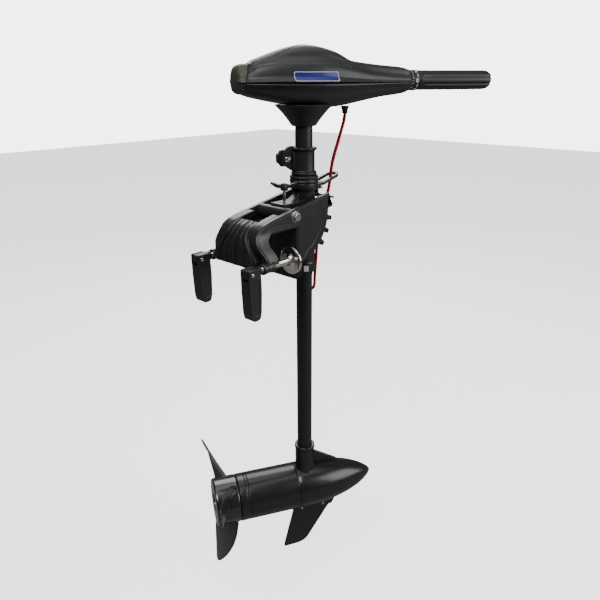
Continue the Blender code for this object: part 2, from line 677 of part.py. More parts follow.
def nose_profile(radius, tip_a, start_a, count=14):
    """(radius, distance) pairs from the nose's tip back to start_a."""
    found = [(0.0, tip_a)]
    for i in range(1, count + 1):
        share = 1 - (1 - math.sin(math.pi / 2 * (1 - i / count)))
        a = NOSE_START_A + (tip_a - NOSE_START_A) * share
        found.append((nose_radius(a * (NOSE_TIP_A / tip_a) if a > 0 else a, radius), a))
    found.append((radius, start_a))
    return found


def nose_housing():
    """The front casting: the nose, the socket for the column and the gusset in front of it."""
    shell = turned("nose_housing",
                   nose_profile(MOTOR_R, NOSE_TIP_A, MAGNET_A + GAP, 10) + [(0.0, MAGNET_A + GAP)],
                   at(0, 0, MOTOR_Z), at(1, 0, MOTOR_Z), "motor_black", 32)
    socket = turned("column_socket",
                    [(0.0, 0.0830), (NOSE_COLLAR_R, 0.0830), (NOSE_COLLAR_R, 0.0), (0.0, 0.0)],
                    (COLUMN_X, 0, NOSE_COLLAR_TOP_Z - 0.0830), (COLUMN_X, 0, 0),
                    "motor_black", 28)
    rim = rod("socket_rim", (COLUMN_X, 0, NOSE_COLLAR_TOP_Z - 0.0080),
              (COLUMN_X, 0, NOSE_COLLAR_TOP_Z), 0.0195, "motor_black", 28)
    gusset = outline("gusset", [(0.0100, -0.4350), (0.0200, -0.4350), (0.0660, -0.4640),
                                (0.0660, -0.4760), (0.0100, -0.4760)], 0.0060, "motor_black",
                     on_heading())
    join(shell, socket, rim, gusset)
    inner_r = MOTOR_R - MOTOR_WALL
    inside = turned("nose_inside",
                    nose_profile(inner_r, 0.0450, MAGNET_A - 0.01, 5) + [(0.0, MAGNET_A - 0.01)],
                    at(0, 0, MOTOR_Z), at(1, 0, MOTOR_Z), "motor_black", 20)
    bore = rod("socket_bore", (COLUMN_X, 0, MOTOR_Z), (COLUMN_X, 0, NOSE_COLLAR_TOP_Z + 0.01),
               TUBE_R + GAP, "motor_black", 28)
    return cut(shell, inside, bore)


def motor_cans():
    """The magnets' steel can and the cast bell that closes it behind the propeller."""
    can = ring("magnet_can", at(BELL_A + GAP, 0, MOTOR_Z), at(MAGNET_A, 0, MOTOR_Z), MOTOR_R,
               MOTOR_R - MOTOR_WALL, "motor_black", 36)
    depth = BELL_A - HUB_A - 0.0008
    bell = turned("end_bell",
                  [(MOTOR_R, depth), (MOTOR_R, 0.0), (0.0100, 0.0), (0.0100, 0.0060),
                   (0.0145, 0.0060), (0.0145, depth - 0.0040), (MOTOR_R - 0.004, depth - 0.004),
                   (MOTOR_R - 0.004, depth)],
                  at(HUB_A + 0.0008, 0, MOTOR_Z), at(0, 0, MOTOR_Z), "motor_black", 36)
    return can, bell


def magnets():
    """Two curved magnets, held to the can above and below the armature."""
    made = []
    for name, sign in (("magnet_upper", 1), ("magnet_lower", -1)):
        magnet = ring(name, at(-0.1050, 0, MOTOR_Z), at(-0.0400, 0, MOTOR_Z),
                      MOTOR_R - MOTOR_WALL - GAP, 0.0345, "magnet_grey", 28)
        reach = 0.06
        low_z = MOTOR_Z + (0.014 if sign > 0 else -0.014 - reach)
        keep = box("magnet_keep", (-0.09, -reach, 0), (0.09, reach, reach), "magnet_grey")
        keep.matrix_world = (Matrix.Translation(at(-0.07, 0, low_z + reach / 2))
                             @ Matrix.Rotation(math.radians(STEER_DEG), 4, "Z"))
        change(magnet, keep, "INTERSECT")
        made.append(magnet)
    return made


def rotor():
    """The motor shaft with its wound armature."""
    shaft = rod("motor_shaft", at(-0.1760, 0, MOTOR_Z), at(0.0280, 0, MOTOR_Z), 0.0048, "steel",
                16)
    pin_bore = rod("drive_pin_bore", at(-0.1560, -0.02, MOTOR_Z), at(-0.1560, 0.02, MOTOR_Z),
                   0.0016 + GAP, "steel", 10)
    cut(shaft, pin_bore)
    armature = turned("armature",
                      [(0.0330, 0.0600), (0.0330, 0.0), (0.0200, -0.0080),
                       (0.0048 + GAP, -0.0080), (0.0048 + GAP, 0.0900), (0.0120, 0.0900),
                       (0.0120, 0.0740), (0.0200, 0.0680)],
                      at(-0.1020, 0, MOTOR_Z), at(0, 0, MOTOR_Z), "copper", 28)
    return shaft, armature


def motor_inside():
    """Brush plate, bearings and shaft seal."""
    brush_plate = ring("brush_plate", at(-0.0215, 0, MOTOR_Z), at(-0.0175, 0, MOTOR_Z),
                       MOTOR_R - MOTOR_WALL - 3 * GAP, 0.0135, "switch_plastic", 20)
    front = ring("bearing_front", at(0.0130, 0, MOTOR_Z), at(0.0200, 0, MOTOR_Z), 0.0110,
                 0.0048 + GAP, "steel", 20)
    rear = ring("bearing_rear", at(-0.1305, 0, MOTOR_Z), at(-0.1240, 0, MOTOR_Z), 0.0142,
                0.0048 + GAP, "steel", 20)
    seal = ring("shaft_seal", at(-0.1392, 0, MOTOR_Z), at(-0.1340, 0, MOTOR_Z), 0.0097,
                0.0048 + GAP, "rubber_black", 20)
    return brush_plate, front, rear, seal


BLADE_STATIONS = 8


def blade_section(share):
    """Radius, chord, pitch angle, thickness and rake at a share of the blade's height."""
    radius = 0.0400 + (PROP_R - 0.0400) * share
    width = 0.0560 + 0.0200 * math.sin(math.pi * min(1.0, share * 0.95))
    chord = width * math.sqrt(max(0.035, 1 - (share / 1.01) ** 3.0))
    pitch = math.radians(38.0 - 34.0 * share ** 0.8)
    thickness = 0.0044 - 0.0026 * share
    rake = -0.028 * share ** 1.3
    return radius, chord, pitch, thickness, rake


def propeller():
    """The cupped hub and its swept blades."""
    length = HUB_A - HUB_END_A
    hub = turned("propeller",
                 [(MOTOR_R - 0.0006, length), (MOTOR_R, length - 0.002), (MOTOR_R, 0.0030),
                  (MOTOR_R - 0.003, 0.0), (0.0170, 0.0), (0.0165, 0.0160), (0.0048 + GAP, 0.0160),
                  (0.0048 + GAP, length - 0.012), (0.0120, length - 0.012),
                  (0.0120, length)],
                 at(HUB_END_A, 0, MOTOR_Z), at(0, 0, MOTOR_Z), "prop_grey", 36)
    middle = at((HUB_A + HUB_END_A) / 2 + 0.002, 0, MOTOR_Z)
    for number in range(BLADE_COUNT):
        turn = math.radians(PROP_ANGLE_DEG) + 2 * math.pi * number / BLADE_COUNT
        bm = bmesh.new()
        loops = []
        for i in range(BLADE_STATIONS + 1):
            radius, chord, pitch, thick, rake = blade_section(i / BLADE_STATIONS)
            out = SIDE * math.cos(turn) + Vector((0, 0, math.sin(turn)))
            around = HEADING.cross(out)
            chordwise = around * math.cos(pitch) - HEADING * math.sin(pitch)
            normal = out.cross(chordwise)
            loop = []
            for u, v in ((-0.5, 0), (-0.28, 0.42), (0.05, 0.5), (0.32, 0.3), (0.5, 0),
                         (0.32, -0.3), (0.05, -0.5), (-0.28, -0.42)):
                place = middle + out * radius + HEADING * rake
                loop.append(bm.verts.new(place + chordwise * u * chord + normal * v * thick))
            loops.append(loop)
        for low, high in zip(loops, loops[1:]):
            for j in range(len(low)):
                k = (j + 1) % len(low)
                bm.faces.new((low[j], low[k], high[k], high[j]))
        bm.faces.new(loops[0][::-1])
        bm.faces.new(loops[-1])
        blade = object_from(bm, "blade", "prop_grey")
        join(hub, blade)
    pin_bore = rod("hub_pin_bore", at(-0.1560, -0.0150, MOTOR_Z), at(-0.1560, 0.0150, MOTOR_Z),
                   0.0016 + GAP, "prop_grey", 10)
    cut(hub, pin_bore)
    pin = rod("drive_pin", at(-0.1560, -0.0140, MOTOR_Z), at(-0.1560, 0.0140, MOTOR_Z), 0.0016,
              "steel", 10)
    nut = rod("prop_nut", at(-0.1815, 0, MOTOR_Z), at(-0.1705, 0, MOTOR_Z), 0.0095, "steel", 6)
    nut_bore = rod("nut_thread", at(-0.1780, 0, MOTOR_Z), at(-0.1600, 0, MOTOR_Z),
                   0.0048 + GAP, "steel", 16)
    return hub, pin, cut(nut, nut_bore)


def skeg():
    """The fin under the motor, in a thicker socket, with its two screws."""
    fin = outline("skeg", [(-0.0180, -0.5480), (0.0700, -0.5480), (0.0600, -0.5680),
                           (0.0460, -0.5900), (0.0060, -0.6550), (0.0000, -0.6610),
                           (-0.0120, -0.6660), (-0.0470, -0.6680), (-0.0260, -0.5800)],
                  0.0050, "motor_black", on_heading())
    foot = outline("skeg_socket", [(-0.0200, -0.5480), (0.0700, -0.5480), (0.0600, -0.5720),
                                   (0.0570, -0.5770), (-0.0260, -0.5790)], 0.0110,
                   "motor_black", on_heading())
    join(fin, foot)
    clear = turned("skeg_clearance",
                   [(r + GAP, a) for r, a in nose_profile(MOTOR_R, NOSE_TIP_A, -0.06, 10)]
                   + [(0.0, -0.06)], at(0, 0, MOTOR_Z), at(1, 0, MOTOR_Z), "motor_black", 32)
    cut(fin, clear)
    screws = []
    for name, a in (("skeg_screw_rear", -0.0080), ("skeg_screw_front", 0.0380)):
        z = -0.5715
        hole = rod("skeg_hole", at(a, -0.02, z), at(a, 0.02, z), 0.0016 + GAP, "motor_black", 10)
        cut(fin, hole)
        screw = rod(name, at(a, -0.0055, z), at(a, 0.0062, z), 0.0016, "steel", 10)
        head = rod("screw_head", at(a, 0.0058, z), at(a, 0.0078, z), 0.0030, "steel", 12, 0.0022)
        screws.append(join(screw, head))
    return [fin] + screws


# --- Tiller head --------------------------------------------------------------------------

# Distance along the heading, half width, top and bottom heights about the tiller's axis.
HEAD_SECTIONS = [
    (-0.1080, 0.0240, 0.0150, -0.0090), (-0.0940, 0.0345, 0.0262, -0.0205),
    (-0.0700, 0.0430, 0.0345, -0.0262), (-0.0450, 0.0480, 0.0420, -0.0302),
    (-0.0200, 0.0500, 0.0478, -0.0345), (0.0040, 0.0505, 0.0497, -0.0375),
    (0.0250, 0.0490, 0.0476, -0.0385), (0.0450, 0.0460, 0.0422, -0.0380),
    (0.0600, 0.0425, 0.0358, -0.0362), (0.0690, 0.0400, 0.0300, -0.0345),
    (0.0850, 0.0355, 0.0272, -0.0306), (0.1100, 0.0285, 0.0243, -0.0264),
    (0.1350, 0.0235, 0.0224, -0.0232), (0.1550, 0.0212, 0.0212, -0.0212),
    (0.1680, 0.0200, 0.0198, -0.0192), (0.1765, 0.0175, 0.0168, -0.0162),
]
HEAD_CREASE_Z = -0.0050
HEAD_SIDES = 24


def head_solid(name, inset, first, last, ends, finish_name):
    """The head's rounded form from section first to last, shrunk by inset and run to ends."""
    bm = bmesh.new()
    loops = []
    for i in range(first, last + 1):
        a, half, top, bottom = HEAD_SECTIONS[i]
        a = ends[0] if i == first else ends[1] if i == last else a
        loop = []
        for j in range(HEAD_SIDES):
            turn = 2 * math.pi * j / HEAD_SIDES
            across, up = math.cos(turn), math.sin(turn)
            reach = (top if up > 0 else -bottom) - (HEAD_CREASE_Z if up > 0 else -HEAD_CREASE_Z)
            y = (half - inset) * math.copysign(abs(across) ** 0.85, across)
            z = HEAD_CREASE_Z + (reach - inset) * math.copysign(abs(up) ** 0.9, up)
            loop.append(bm.verts.new(at(a, y, HEAD_Z + z)))
        loops.append(loop)
    for low, high in zip(loops, loops[1:]):
        for j in range(HEAD_SIDES):
            k = (j + 1) % HEAD_SIDES
            bm.faces.new((low[j], low[k], high[k], high[j]))
    bm.faces.new(loops[0][::-1])
    bm.faces.new(loops[-1])
    return object_from(bm, name, finish_name)


def half_space(name, low_z, high_z):
    """A block along the heading that spans the whole head between two heights."""
    block = box(name, (-0.3, -0.1, low_z), (0.3, 0.1, high_z), "head_charcoal")
    block.matrix_world = (Matrix.Translation(at(0, 0, (low_z + high_z) / 2))
                          @ Matrix.Rotation(math.radians(STEER_DEG), 4, "Z"))
    return block


def head_shells():
    """The lower housing with its neck, the upper cover and the rear cap."""
    last = len(HEAD_SECTIONS) - 1
    seam = HEAD_Z + HEAD_CREASE_Z
    body_ends = (HEAD_REAR_A, HEAD_FRONT_A)
    hollow_ends = (HEAD_REAR_A - 0.002, HEAD_FRONT_A - HEAD_WALL)
    cover = head_solid("head_cover", 0.0, 1, last, body_ends, "head_charcoal")
    cut(cover, half_space("below_seam", seam - 0.1, seam + GAP / 2))
    cut(cover, head_solid("cover_inside", HEAD_WALL, 1, last, hollow_ends, "head_charcoal"))
    base = head_solid("head_base", 0.0, 1, last, body_ends, "head_charcoal")
    neck = turned("neck",
                  [(0.0, 0.0440), (0.0500, 0.0440), (0.0440, 0.0330), (0.0340, 0.0205),
                   (0.0265, 0.0090), (0.0205, 0.0), (0.0, 0.0)],
                  (COLUMN_X, 0, NECK_BOTTOM_Z), (COLUMN_X, 0, 1.0), "head_charcoal", 32)
    join(base, neck)
    cut(base, half_space("above_seam", seam - GAP / 2, seam + 0.1))
    cut(base, head_solid("base_inside", HEAD_WALL, 1, last, hollow_ends, "head_charcoal"))
    cut(base, rod("neck_bore", (COLUMN_X, 0, NECK_BOTTOM_Z - 0.01), (COLUMN_X, 0, HEAD_Z),
                  TUBE_R + GAP, "head_charcoal", 28))
    cut(base, rod("lead_hole", at(0.069, 0, 0.200), at(0.069, 0, 0.240), 0.0062 + GAP,
                  "head_charcoal", 16))
    for shell in (cover, base):
        cut(shell, rod("tiller_bore", at(0.14, 0, HEAD_Z), at(0.20, 0, HEAD_Z),
                       TILLER_R + GAP, "head_charcoal", 20))
    cap = head_solid("head_rear_cap", 0.0, 0, 1, (-0.1080, HEAD_REAR_A - GAP), "cap_olive")
    bump = rod("cap_dome", at(-0.1079, 0, HEAD_Z + 0.003), at(-0.1117, 0, HEAD_Z + 0.003), 0.0125,
               "cap_olive", 20, 0.0085)
    join(cap, bump)
    return cover, base, cap


def label_plate():
    """A plain panel that follows the cover's near side."""
    last = len(HEAD_SECTIONS) - 1
    ends = (HEAD_REAR_A, HEAD_FRONT_A)
    panel = head_solid("label_plate", -GAP - LABEL_T, 1, last, ends, "label_blue")
    cut(panel, head_solid("label_back", -GAP, 1, last, ends, "label_blue"))
    keep = box("label_keep", (-0.0370, -0.0200, -0.0075), (0.0370, 0.0200, 0.0075), "label_blue")
    keep.matrix_world = (Matrix.Translation(at(0.0080, 0.0480, HEAD_Z + 0.0050))
                         @ Matrix.Rotation(math.radians(STEER_DEG), 4, "Z"))
    change(panel, keep, "INTERSECT")


def head_inside():
    """The speed switch that the tiller turns, and the grommet that the leads come out of."""
    switch = rod("speed_switch", at(-0.0780, 0, HEAD_Z), at(-0.0420, 0, HEAD_Z), 0.0170,
                 "switch_plastic", 20)
    grommet = turned("lead_grommet",
                     [(0.0, 0.0262), (0.0082, 0.0262), (0.0082, 0.0242), (0.0062, 0.0234),
                      (0.0062, 0.0140), (0.0085, 0.0130), (0.0052, 0.0), (0.0, 0.0)],
                     at(0.069, 0, 0.2015), at(0.069, 0, 1.0), "rubber_black", 20)
    return switch, grommet


def tiller():
    """The sliding tiller tube, the speed dial and the twist grip."""
    tube = ring("tiller_tube", at(TILLER_START_A, 0, HEAD_Z), at(0.3100, 0, HEAD_Z), TILLER_R,
                TILLER_R - 0.0016, "steel", 20)
    dial = turned("speed_dial",
                  [(GRIP_R, 0.0149), (GRIP_R + 0.0006, 0.0135), (GRIP_R + 0.0006, 0.0015),
                   (GRIP_R, 0.0), (TILLER_R + GAP, 0.0), (TILLER_R + GAP, 0.0149)],
                  at(DIAL_A, 0, HEAD_Z), at(1, 0, HEAD_Z), "dial_black", 32)
    length = GRIP_END_A - GRIP_A
    grip = turned("tiller_grip",
                  [(0.0, length), (0.0075, length), (0.0118, length - 0.0015),
                   (GRIP_R - 0.0008, length - 0.0060), (GRIP_R, length - 0.0120),
                   (GRIP_R, 0.0020), (GRIP_R - 0.0008, 0.0), (TILLER_R + GAP, 0.0),
                   (TILLER_R + GAP, 0.3102 - GRIP_A), (0.0, 0.3102 - GRIP_A)],
                  at(GRIP_A, 0, HEAD_Z), at(1, 0, HEAD_Z), "grip_black", 32)
    for i in range(8):
        turn = 2 * math.pi * (i + 0.5) / 8
        reach = GRIP_R + 0.0012
        off = SIDE * math.cos(turn) * reach + Vector((0, 0, math.sin(turn) * reach))
        groove = rod("grip_groove", at(GRIP_A + 0.0080, 0, HEAD_Z) + off,
                     at(GRIP_END_A + 0.02, 0, HEAD_Z) + off, 0.0022, "grip_black", 8)
        cut(grip, groove)
    return tube, dial, grip


# --- Battery leads ------------------------------------------------------------------------

# The pair's route: out of the head, through the lock lever's loop and down behind the column.
LEAD_ROUTE = [(0.1218, -0.0345, 0.2010), (0.1210, -0.0330, 0.1900), (0.1195, -0.0290, 0.1750),
              (0.1185, -0.0240, 0.1580), (0.1190, -0.0175, 0.1410), (0.1225, -0.0100, 0.1250),
              (0.1255, -0.0045, 0.1080), (0.1262, -0.0020, 0.0920), (0.1225, 0.0000, 0.0700),
              (0.1155, 0.0025, 0.0440), (0.1085, 0.0060, 0.0150), (0.1062, 0.0090, -0.0200),
              (0.1078, 0.0130, -0.0550), (0.1088, 0.0170, -0.0850), (0.1065, 0.0208, -0.1025),
              (0.1010, 0.0248, -0.1085), (0.0962, 0.0282, -0.1025), (0.0955, 0.0288, -0.0912)]
LEAD_SPACING = 0.0043
LEAD_PHASE_DEG = 118.0
HANK_OUT = Vector((0.7415, 0.6710, 0.0))


def lead_routes():
    """The two leads, side by side along their shared route."""
    middle = smooth_route(LEAD_ROUTE, 0.0068)
    turn = math.radians(LEAD_PHASE_DEG)
    routes = ([], [])
    for i, point in enumerate(middle):
        before = middle[max(0, i - 1)]
        after = middle[min(len(middle) - 1, i + 1)]
        tangent = (after - before).normalized()
        across = tangent.cross(Vector((0, 1, 0))).normalized()
        other = tangent.cross(across)
        offset = (across * math.cos(turn) + other * math.sin(turn)) * LEAD_SPACING / 2
        routes[0].append(point + offset)
        routes[1].append(point - offset)
    return routes


def leads():
    """The red and black leads, the hank of the length to spare and its ring terminals."""
    red, black = lead_routes()
    wire("lead_red", red, LEAD_R, "lead_red")
    wire("lead_black", black, LEAD_R, "lead_black")
    half = (HANK_WIDTH / 2, (HANK_TOP_Z - HANK_BOTTOM_Z) / 2)
    centre_z = (HANK_TOP_Z + HANK_BOTTOM_Z) / 2
    straight = half[1] - half[0]
    shape = arc((0, straight), half[0], 0, 180, 8) + arc((0, -straight), half[0], 180, 360, 8)
    centre = Vector((COLUMN_X, 0, centre_z)) + HANK_OUT * (HANK_NEAR + HANK_DEPTH / 2)
    turn = math.atan2(HANK_OUT.x, -HANK_OUT.y)
    place = (Matrix.Translation(centre) @ Matrix.Rotation(turn, 4, "Z")
             @ Matrix.Rotation(math.radians(90), 4, "X"))
    outline("lead_hank", shape, HANK_DEPTH, "lead_black", place)
    across = HANK_OUT.cross(Vector((0, 0, 1)))
    for name, sign in (("terminal_red", -1), ("terminal_black", 1)):
        top = centre + across * 0.0060 + HANK_OUT * (-0.0090 + 0.0040 * sign)
        top.z = HANK_BOTTOM_Z + 0.0021
        barrel = rod(name, top - Vector((0, 0, 0.0140)), top - Vector((0, 0, 0.0026)), 0.0026,
                     "steel", 12)
        middle = top - Vector((0, 0, 0.0185))
        eye = rod("terminal_eye", middle - HANK_OUT * 0.0006, middle + HANK_OUT * 0.0006, 0.0060,
                  "steel", 20)
        hole = rod("terminal_hole", middle - HANK_OUT * 0.01, middle + HANK_OUT * 0.01, 0.0032,
                   "steel", 16)
        cut(join(barrel, eye), hole)


def build():
    global PARTS, CUTTERS
    clear_scene()
    PARTS = new_collection("trolling_motor")
    CUTTERS = new_collection("cutters")
    CUTTERS.hide_render = True
    make_materials()
    for side, sign in (("port", -1), ("starboard", 1)):
        side_plate(side, sign)
        clamp(side, sign)
    front_apron()
    transom_saddle()
    tilt_bolt_and_nut()
    swivel_block()
    bushes()
    wing_screw()
    tilt_lock()
    depth_collar()
    ring("column_tube", (COLUMN_X, 0, TUBE_END_Z), (COLUMN_X, 0, TUBE_TOP_Z), TUBE_R,
         TUBE_R - 0.0018, "column_black", 28)
    nose_housing()
    motor_cans()
    magnets()
    rotor()
    motor_inside()
    propeller()
    skeg()
    head_shells()
    label_plate()
    head_inside()
    tiller()
    leads()


build()
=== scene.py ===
"""The looks of a transom-mount electric trolling motor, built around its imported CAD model.

Metres, +Z up. X = 0 is the face that bears on the transom and Y = 0 the bracket's middle. The
column stands at COLUMN_X and is steered STEER_DEG off straight ahead, so the head and the motor
are laid out along HEADING, with SIDE to the right of it, towards the camera.
"""

import json
import math

import bmesh
import bpy
from mathutils import Matrix, Vector

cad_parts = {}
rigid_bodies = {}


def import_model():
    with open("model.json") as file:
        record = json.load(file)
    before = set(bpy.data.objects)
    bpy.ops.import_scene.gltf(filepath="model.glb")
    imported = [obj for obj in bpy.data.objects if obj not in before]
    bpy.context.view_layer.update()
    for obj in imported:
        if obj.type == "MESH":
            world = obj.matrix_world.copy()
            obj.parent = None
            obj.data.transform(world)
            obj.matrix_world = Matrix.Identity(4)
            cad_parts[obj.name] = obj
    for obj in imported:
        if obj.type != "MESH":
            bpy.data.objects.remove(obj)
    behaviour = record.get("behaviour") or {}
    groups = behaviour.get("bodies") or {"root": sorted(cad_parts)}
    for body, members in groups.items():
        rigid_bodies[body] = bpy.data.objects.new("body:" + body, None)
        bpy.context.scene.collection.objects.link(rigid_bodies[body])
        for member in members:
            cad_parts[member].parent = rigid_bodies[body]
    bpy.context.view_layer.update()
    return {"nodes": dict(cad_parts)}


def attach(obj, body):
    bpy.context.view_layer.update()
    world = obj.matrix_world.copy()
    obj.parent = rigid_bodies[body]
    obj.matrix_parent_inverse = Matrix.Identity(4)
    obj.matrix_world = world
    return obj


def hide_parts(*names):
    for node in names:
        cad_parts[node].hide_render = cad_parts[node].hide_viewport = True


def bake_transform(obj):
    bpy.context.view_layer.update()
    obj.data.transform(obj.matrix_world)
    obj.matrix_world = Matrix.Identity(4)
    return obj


for leftover in list(bpy.data.objects):
    bpy.data.objects.remove(leftover, do_unlink=True)
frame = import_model()

COLUMN_X = 0.062
STEER_DEG = -30.0
HEADING = Vector((math.cos(math.radians(STEER_DEG)), math.sin(math.radians(STEER_DEG)), 0.0))
SIDE = HEADING.cross(Vector((0.0, 0.0, 1.0)))
UP = Vector((0.0, 0.0, 1.0))
HEAD_Z = 0.252
MOTOR_Z = -0.512
MOTOR_R = 0.045
TILT_X, TILT_Z = -0.003, 0.058
COLUMN_AXIS = ((COLUMN_X, 0, 0), (COLUMN_X, 0, 1))
WING_X = 0.0155
CLAMP_Y, CLAMP_Z = 0.057, -0.002
GRIP_PIN_X = -0.1185
FLOOR_Z = -0.8
SIDES = (("port", -1), ("starboard", 1))


# --- Places -------------------------------------------------------------------------------

def at(a, side=0.0, z=0.0):
    """The point a ahead of the column's axis along the heading, and side to its right."""
    return Vector((COLUMN_X, 0.0, z)) + HEADING * a + SIDE * side


def along(start, end):
    """The matrix that takes the Z axis onto the line from start to end."""
    start, end = Vector(start), Vector(end)
    return Matrix.Translation(start) @ (end - start).to_track_quat("Z", "Y").to_matrix().to_4x4()


def in_xz(y):
    """Places an outline drawn as (x, z) in the plane of that y, with its normal along -Y."""
    return Matrix.Translation((0, y, 0)) @ Matrix.Rotation(math.pi / 2, 4, "X")


def on_heading(side=0.0):
    """Places an outline drawn as (distance along the heading, z) in the column's own plane."""
    turn = Matrix.Rotation(math.radians(STEER_DEG), 4, "Z")
    return (Matrix.Translation(Vector((COLUMN_X, 0, 0)) + SIDE * side) @ turn
        @ Matrix.Rotation(math.pi / 2, 4, "X"))


MOTOR_AXIS = (at(0, 0, MOTOR_Z), at(1, 0, MOTOR_Z))
TILLER_AXIS = (at(0, 0, HEAD_Z), at(1, 0, HEAD_Z))


def outward(angle):
    """The unit vector across the heading, turned angle up from its right-hand side."""
    return SIDE * math.cos(angle) + UP * math.sin(angle)


def mm(*pairs):
    """An outline given in millimetres, in metres, without the last digits that dividing adds."""
    return [(round(first / 1000, 7), round(second / 1000, 7)) for first, second in pairs]


def smoothstep(value):
    value = min(1.0, max(0.0, value))
    return value * value * (3 - 2 * value)


def curve_through(xs, ys, x):
    """The value at x of a smooth curve through the points (xs, ys)."""
    if x <= xs[0]:
        return ys[0]
    if x >= xs[-1]:
        return ys[-1]
    i = max(k for k in range(len(xs) - 1) if xs[k] <= x)
    t = (x - xs[i]) / (xs[i + 1] - xs[i])

    def slope(k):
        low, high = max(0, k - 1), min(len(xs) - 1, k + 1)
        return (ys[high] - ys[low]) / (xs[high] - xs[low])

    wide = xs[i + 1] - xs[i]
    return ((2 * t ** 3 - 3 * t ** 2 + 1) * ys[i] + (t ** 3 - 2 * t ** 2 + t) * wide * slope(i)
        + (3 * t ** 2 - 2 * t ** 3) * ys[i + 1] + (t ** 3 - t ** 2) * wide * slope(i + 1))


def eased(points, reach, closed=False, steps=4):
    """A line of 2-D points with each corner rounded, starting at most reach before it."""
    found, count = [], len(points)
    for i, corner in enumerate(points):
        if not closed and i in (0, count - 1):
            found.append(tuple(corner))
            continue
        middle = Vector(corner)
        before = Vector(points[i - 1]) - middle
        after = Vector(points[(i + 1) % count]) - middle
        if before.length < 1e-7 or after.length < 1e-7 or before.angle(after) > math.radians(172):
            found.append(tuple(corner))
            continue
        first = middle + before.normalized() * min(reach, 0.45 * before.length)
        last = middle + after.normalized() * min(reach, 0.45 * after.length)
        for k in range(steps + 1):
            t = k / steps
            found.append(tuple(first * (1 - t) ** 2 + middle * 2 * t * (1 - t) + last * t * t))
    return found


def arc(centre, radius, start_deg, end_deg, count):
    found = []
    for i in range(count + 1):
        turn = math.radians(start_deg + (end_deg - start_deg) * i / count)
        found.append((centre[0] + radius * math.cos(turn), centre[1] + radius * math.sin(turn)))
    return found


def catmull_rom(knots, parts):
    """Points along the Catmull-Rom curve from the second knot up to the last but one."""
    fine = []
    for a, b, c, d in zip(knots, knots[1:], knots[2:], knots[3:]):
        for i in range(parts):
            t = i / parts
            fine.append(0.5 * (2 * b + (c - a) * t + (2 * a - 5 * b + 4 * c - d) * t * t
                + (3 * b - a - 3 * c + d) * t ** 3))
    return fine


def smooth_route(points, step):
    """Points step apart along the smooth curve through a given route."""
    knots = [Vector(p) for p in points]
    knots = [2 * knots[0] - knots[1]] + knots + [2 * knots[-1] - knots[-2]]
    fine = catmull_rom(knots, 24) + [knots[-2]]
    kept = [fine[0]]
    for point in fine[1:-1]:
        if (point - kept[-1]).length >= step:
            kept.append(point)
    if (fine[-1] - kept[-1]).length < step / 2:
        kept.pop()
    kept.append(fine[-1])
    return kept


# --- Materials ----------------------------------------------------------------------------

MATERIALS = {}


